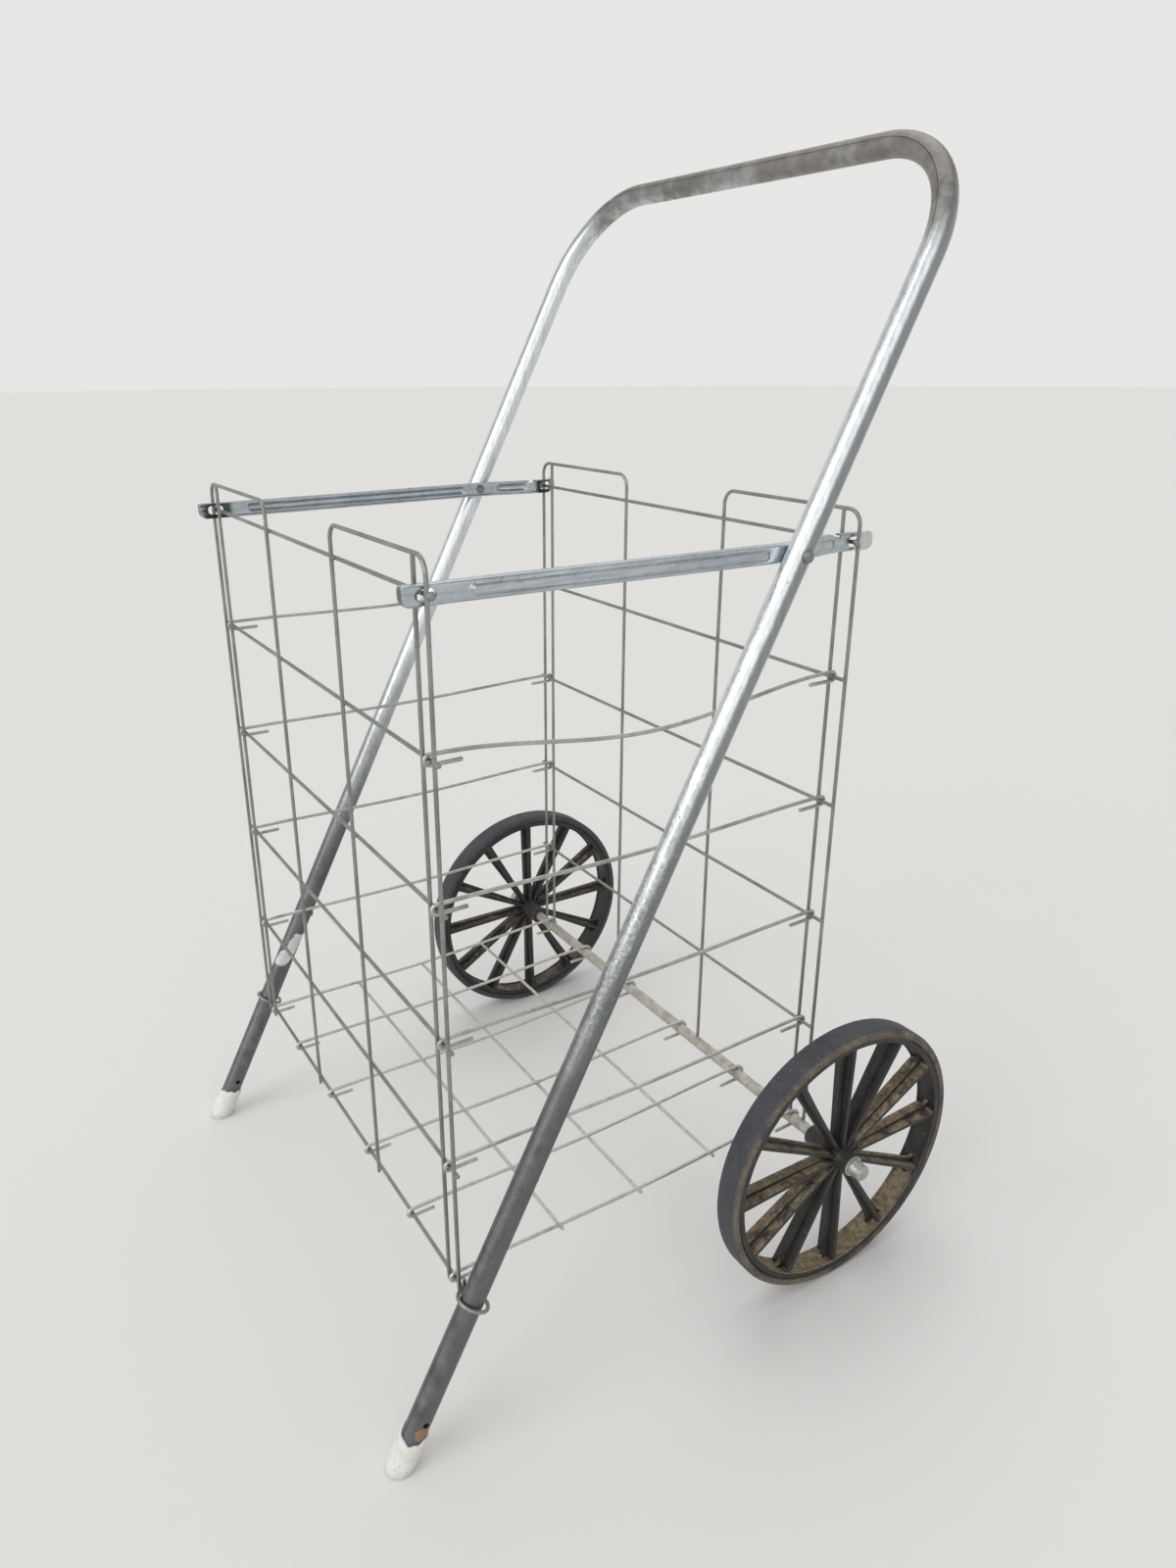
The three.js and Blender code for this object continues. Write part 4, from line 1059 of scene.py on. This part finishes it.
def spoke_plate(bm, wide_in, wide_out, thick, inner, outer, flare, across, turn):
    """A tapered plate from hub to rim, which widens where it runs into the rim."""
    before = set(bm.verts)
    bmesh.ops.create_cube(bm, size=1.0)
    made = [vert for vert in bm.verts if vert not in before]
    root = outer - 0.010
    for vert in made:
        wide = wide_out if vert.co.z > 0 else wide_in
        vert.co = Vector((vert.co.x * wide, vert.co.y * thick, root if vert.co.z > 0 else inner))
    sides = [face for vert in made for face in vert.link_faces]
    tip = max(sides, key=lambda face: face.calc_center_median().z)
    for rise, spread in ((0.005, 0.12), (0.003, 0.32), (0.002, 0.56)):
        grown = bmesh.ops.extrude_face_region(bm, geom=[tip])["geom"]
        ring = [item for item in grown if isinstance(item, bmesh.types.BMVert)]
        bmesh.ops.delete(bm, geom=[tip], context="FACES_ONLY")
        tip = next(item for item in grown if isinstance(item, bmesh.types.BMFace))
        for vert in ring:
            vert.co.z += rise
            vert.co.x += math.copysign(flare * spread, vert.co.x)
    plate = [vert for vert in bm.verts if vert not in before]
    long = [edge for edge in edges_of(plate) if abs(edge.verts[0].co.z - edge.verts[1].co.z) > 0.001]
    bmesh.ops.bevel(bm, geom=long, offset=0.0009, segments=2, profile=0.5, affect="EDGES", material=-1)
    plate = [vert for vert in bm.verts if vert not in before]
    if not across:
        bmesh.ops.rotate(bm, verts=plate, matrix=Matrix.Rotation(math.pi / 2, 3, "Z"))
    bmesh.ops.transform(bm, matrix=turn, verts=plate)


def spoked_wheel(hand):
    bm = bmesh.new()
    place = wheel_place(hand)
    rim = WHEEL - TYRE - GAP
    inner = rim - RIM
    profile = [(rim, -0.0105), (rim, 0.0105), (rim - 0.0008, 0.0112), (inner - 0.0008, 0.0112),
               (inner - 0.0015, 0.0105), (inner - 0.0009, 0.0094), (inner, 0.0084), (inner, -0.0084),
               (inner - 0.0009, -0.0094), (inner - 0.0015, -0.0105), (inner - 0.0008, -0.0112),
               (rim - 0.0008, -0.0112)]
    turned(bm, profile, place, X_AXIS * hand, 96, closed=True)
    bore = AXLE + 0.0004
    profile = [(bore, -0.032), (HUB - 0.001, -0.032), (HUB, -0.031), (HUB, -0.011), (HUB + 0.0015, -0.009),
               (HUB + 0.0015, 0.009), (HUB, 0.011), (HUB, HUB_OUT - 0.001), (HUB - 0.001, HUB_OUT),
               (bore, HUB_OUT)]
    turned(bm, profile, place, X_AXIS * hand, 40, closed=True)
    for i in range(SPOKES):
        turn = Matrix.Translation(place) @ Matrix.Rotation(math.tau * i / SPOKES, 4, "X")
        spoke_plate(bm, 0.0165, 0.0215, 0.0040, HUB - 0.002, inner + 0.001, 0.0, True, turn)
        spoke_plate(bm, 0.0060, 0.0125, 0.0042, HUB - 0.002, inner + 0.001, 0.006, False, turn)
    side = side_of(hand)
    return make(f"spoked_wheel_{side}", bm, f"wheel_{side}", WHEEL_LOOK, [f"wheel_{side}"])


def axle_fittings(hand):
    side = side_of(hand)
    place = wheel_place(hand)
    bm = bmesh.new()
    near = HUB_OUT + GAP
    far = near + 0.0015
    bore = AXLE + 0.0004
    profile = [(bore, near), (0.0093, near), (0.0095, near + 0.0003), (0.0095, far - 0.0003), (0.0093, far),
               (bore, far)]
    turned(bm, profile, place, X_AXIS * hand, 36, closed=True)
    make(f"axle_ring_{side}", bm, "rear_frame", AXLE_LOOK, [f"axle_washer_{side}"])
    bm = bmesh.new()
    seat = AXLE_END + GAP
    rim = far + GAP
    profile = [(0.0, seat), (0.0058, seat), (0.0058, rim), (0.0079, rim), (0.0080, rim + 0.0010),
               (0.0074, rim + 0.0020), (0.0074, seat)]
    profile += dome(0.0074, seat, 0.003, 7, 1)
    turned(bm, profile, place, X_AXIS * hand, 36)
    make(f"axle_dome_{side}", bm, "rear_frame", CAP_LOOK, [f"axle_cap_{side}"])


def axle_rod():
    bm = bmesh.new()
    half = TRACK + AXLE_END
    rod = Pull(bm, AXLE, 28, REAR_FOOT - X_AXIS * half, X_AXIS, Z_AXIS).run(2 * half, 24)
    rod.close(0.0)
    return make("axle_rod", bm, "rear_frame", AXLE_LOOK, ["axle"])


axle_rod()
for hand in (-1, 1):
    guide_ring(hand)
    leg_rivet(hand)
    rail_rivet(hand)
    foot_cap(hand)
    rail(hand)
    tyre(hand)
    spoked_wheel(hand)
    axle_fittings(hand)


# Stage, light and camera

def stage_floor():
    bm = bmesh.new()
    bmesh.ops.create_circle(bm, cap_ends=True, segments=96, radius=30.0)
    mesh = bpy.data.meshes.new("floor")
    bm.to_mesh(mesh)
    bm.free()
    floor = bpy.data.objects.new("floor", mesh)
    bpy.context.scene.collection.objects.link(floor)
    look = bpy.data.materials.new("pale_floor")
    look.use_nodes = True
    shader = look.node_tree.nodes["Principled BSDF"]
    shader.inputs["Base Color"].default_value = colour(0.80, 0.795, 0.78)
    shader.inputs["Roughness"].default_value = 1.0
    shader.inputs["Specular IOR Level"].default_value = 0.0
    mesh.materials.append(look)


stage_floor()

FILL = 0.42
BACKDROP = 0.80
CEILING = 0.36


def studio_world():
    """Even fill light. What is seen of it is a pale backdrop under a darker ceiling."""
    world = bpy.data.worlds.new("studio")
    bpy.context.scene.world = world
    world.use_nodes = True
    paint = Paint(world.node_tree)
    path = paint.node("ShaderNodeLightPath")
    seen = paint.most(path.outputs["Is Camera Ray"], path.outputs["Is Glossy Ray"])
    seen = paint.most(seen, path.outputs["Is Transmission Ray"])
    where = paint.node("ShaderNodeTexCoord").outputs["Generated"]
    height = paint.node("ShaderNodeSeparateXYZ", {"Vector": where}).outputs["Z"]
    backdrop = paint.span(height, 0.30, 0.80, BACKDROP, CEILING)
    background = world.node_tree.nodes["Background"]
    background.inputs["Color"].default_value = colour(1.0, 0.995, 0.985)
    paint.feed(background.inputs["Strength"], paint.blend(seen, FILL, backdrop))


studio_world()


def soft_light(name, source, angle, strength):
    """A broad distant light that shines from a direction onto the whole floor alike."""
    lamp = bpy.data.lights.new(name, "SUN")
    lamp.energy = strength
    lamp.angle = math.radians(angle)
    light = bpy.data.objects.new(name, lamp)
    bpy.context.scene.collection.objects.link(light)
    light.rotation_euler = Vector(source).to_track_quat("Z", "Y").to_euler()


soft_light("front_light", (0.08, -0.86, 0.52), 46, 1.20)
soft_light("top_light", (-0.30, 0.25, 0.92), 60, 0.85)
soft_light("side_light", (0.80, -0.30, 0.52), 50, 0.40)

CAMERA_PLACE = Vector((0.8373, -0.4648, 0.8105))
CAMERA_TURN = math.radians(57.50)
CAMERA_DIP = math.radians(21.60)
CAMERA_ROLL = -0.0046


def photo_camera():
    data = bpy.data.cameras.new("camera")
    data.lens = 24.97
    data.sensor_width = 36.0
    data.sensor_fit = "AUTO"
    data.clip_start = 0.01
    camera = bpy.data.objects.new("camera", data)
    bpy.context.scene.collection.objects.link(camera)
    ahead = Vector((
        -math.sin(CAMERA_TURN) * math.cos(CAMERA_DIP),
        math.cos(CAMERA_TURN) * math.cos(CAMERA_DIP),
        -math.sin(CAMERA_DIP),
    ))
    right = ahead.cross(Z_AXIS).normalized()
    up = right.cross(ahead)
    roll = Matrix.Rotation(CAMERA_ROLL, 3, -ahead)
    turn = Matrix((roll @ right, roll @ up, -ahead)).transposed()
    camera.matrix_world = Matrix.Translation(CAMERA_PLACE) @ turn.to_4x4()
    bpy.context.scene.camera = camera


photo_camera()
bpy.context.scene.view_settings.view_transform = "Standard"
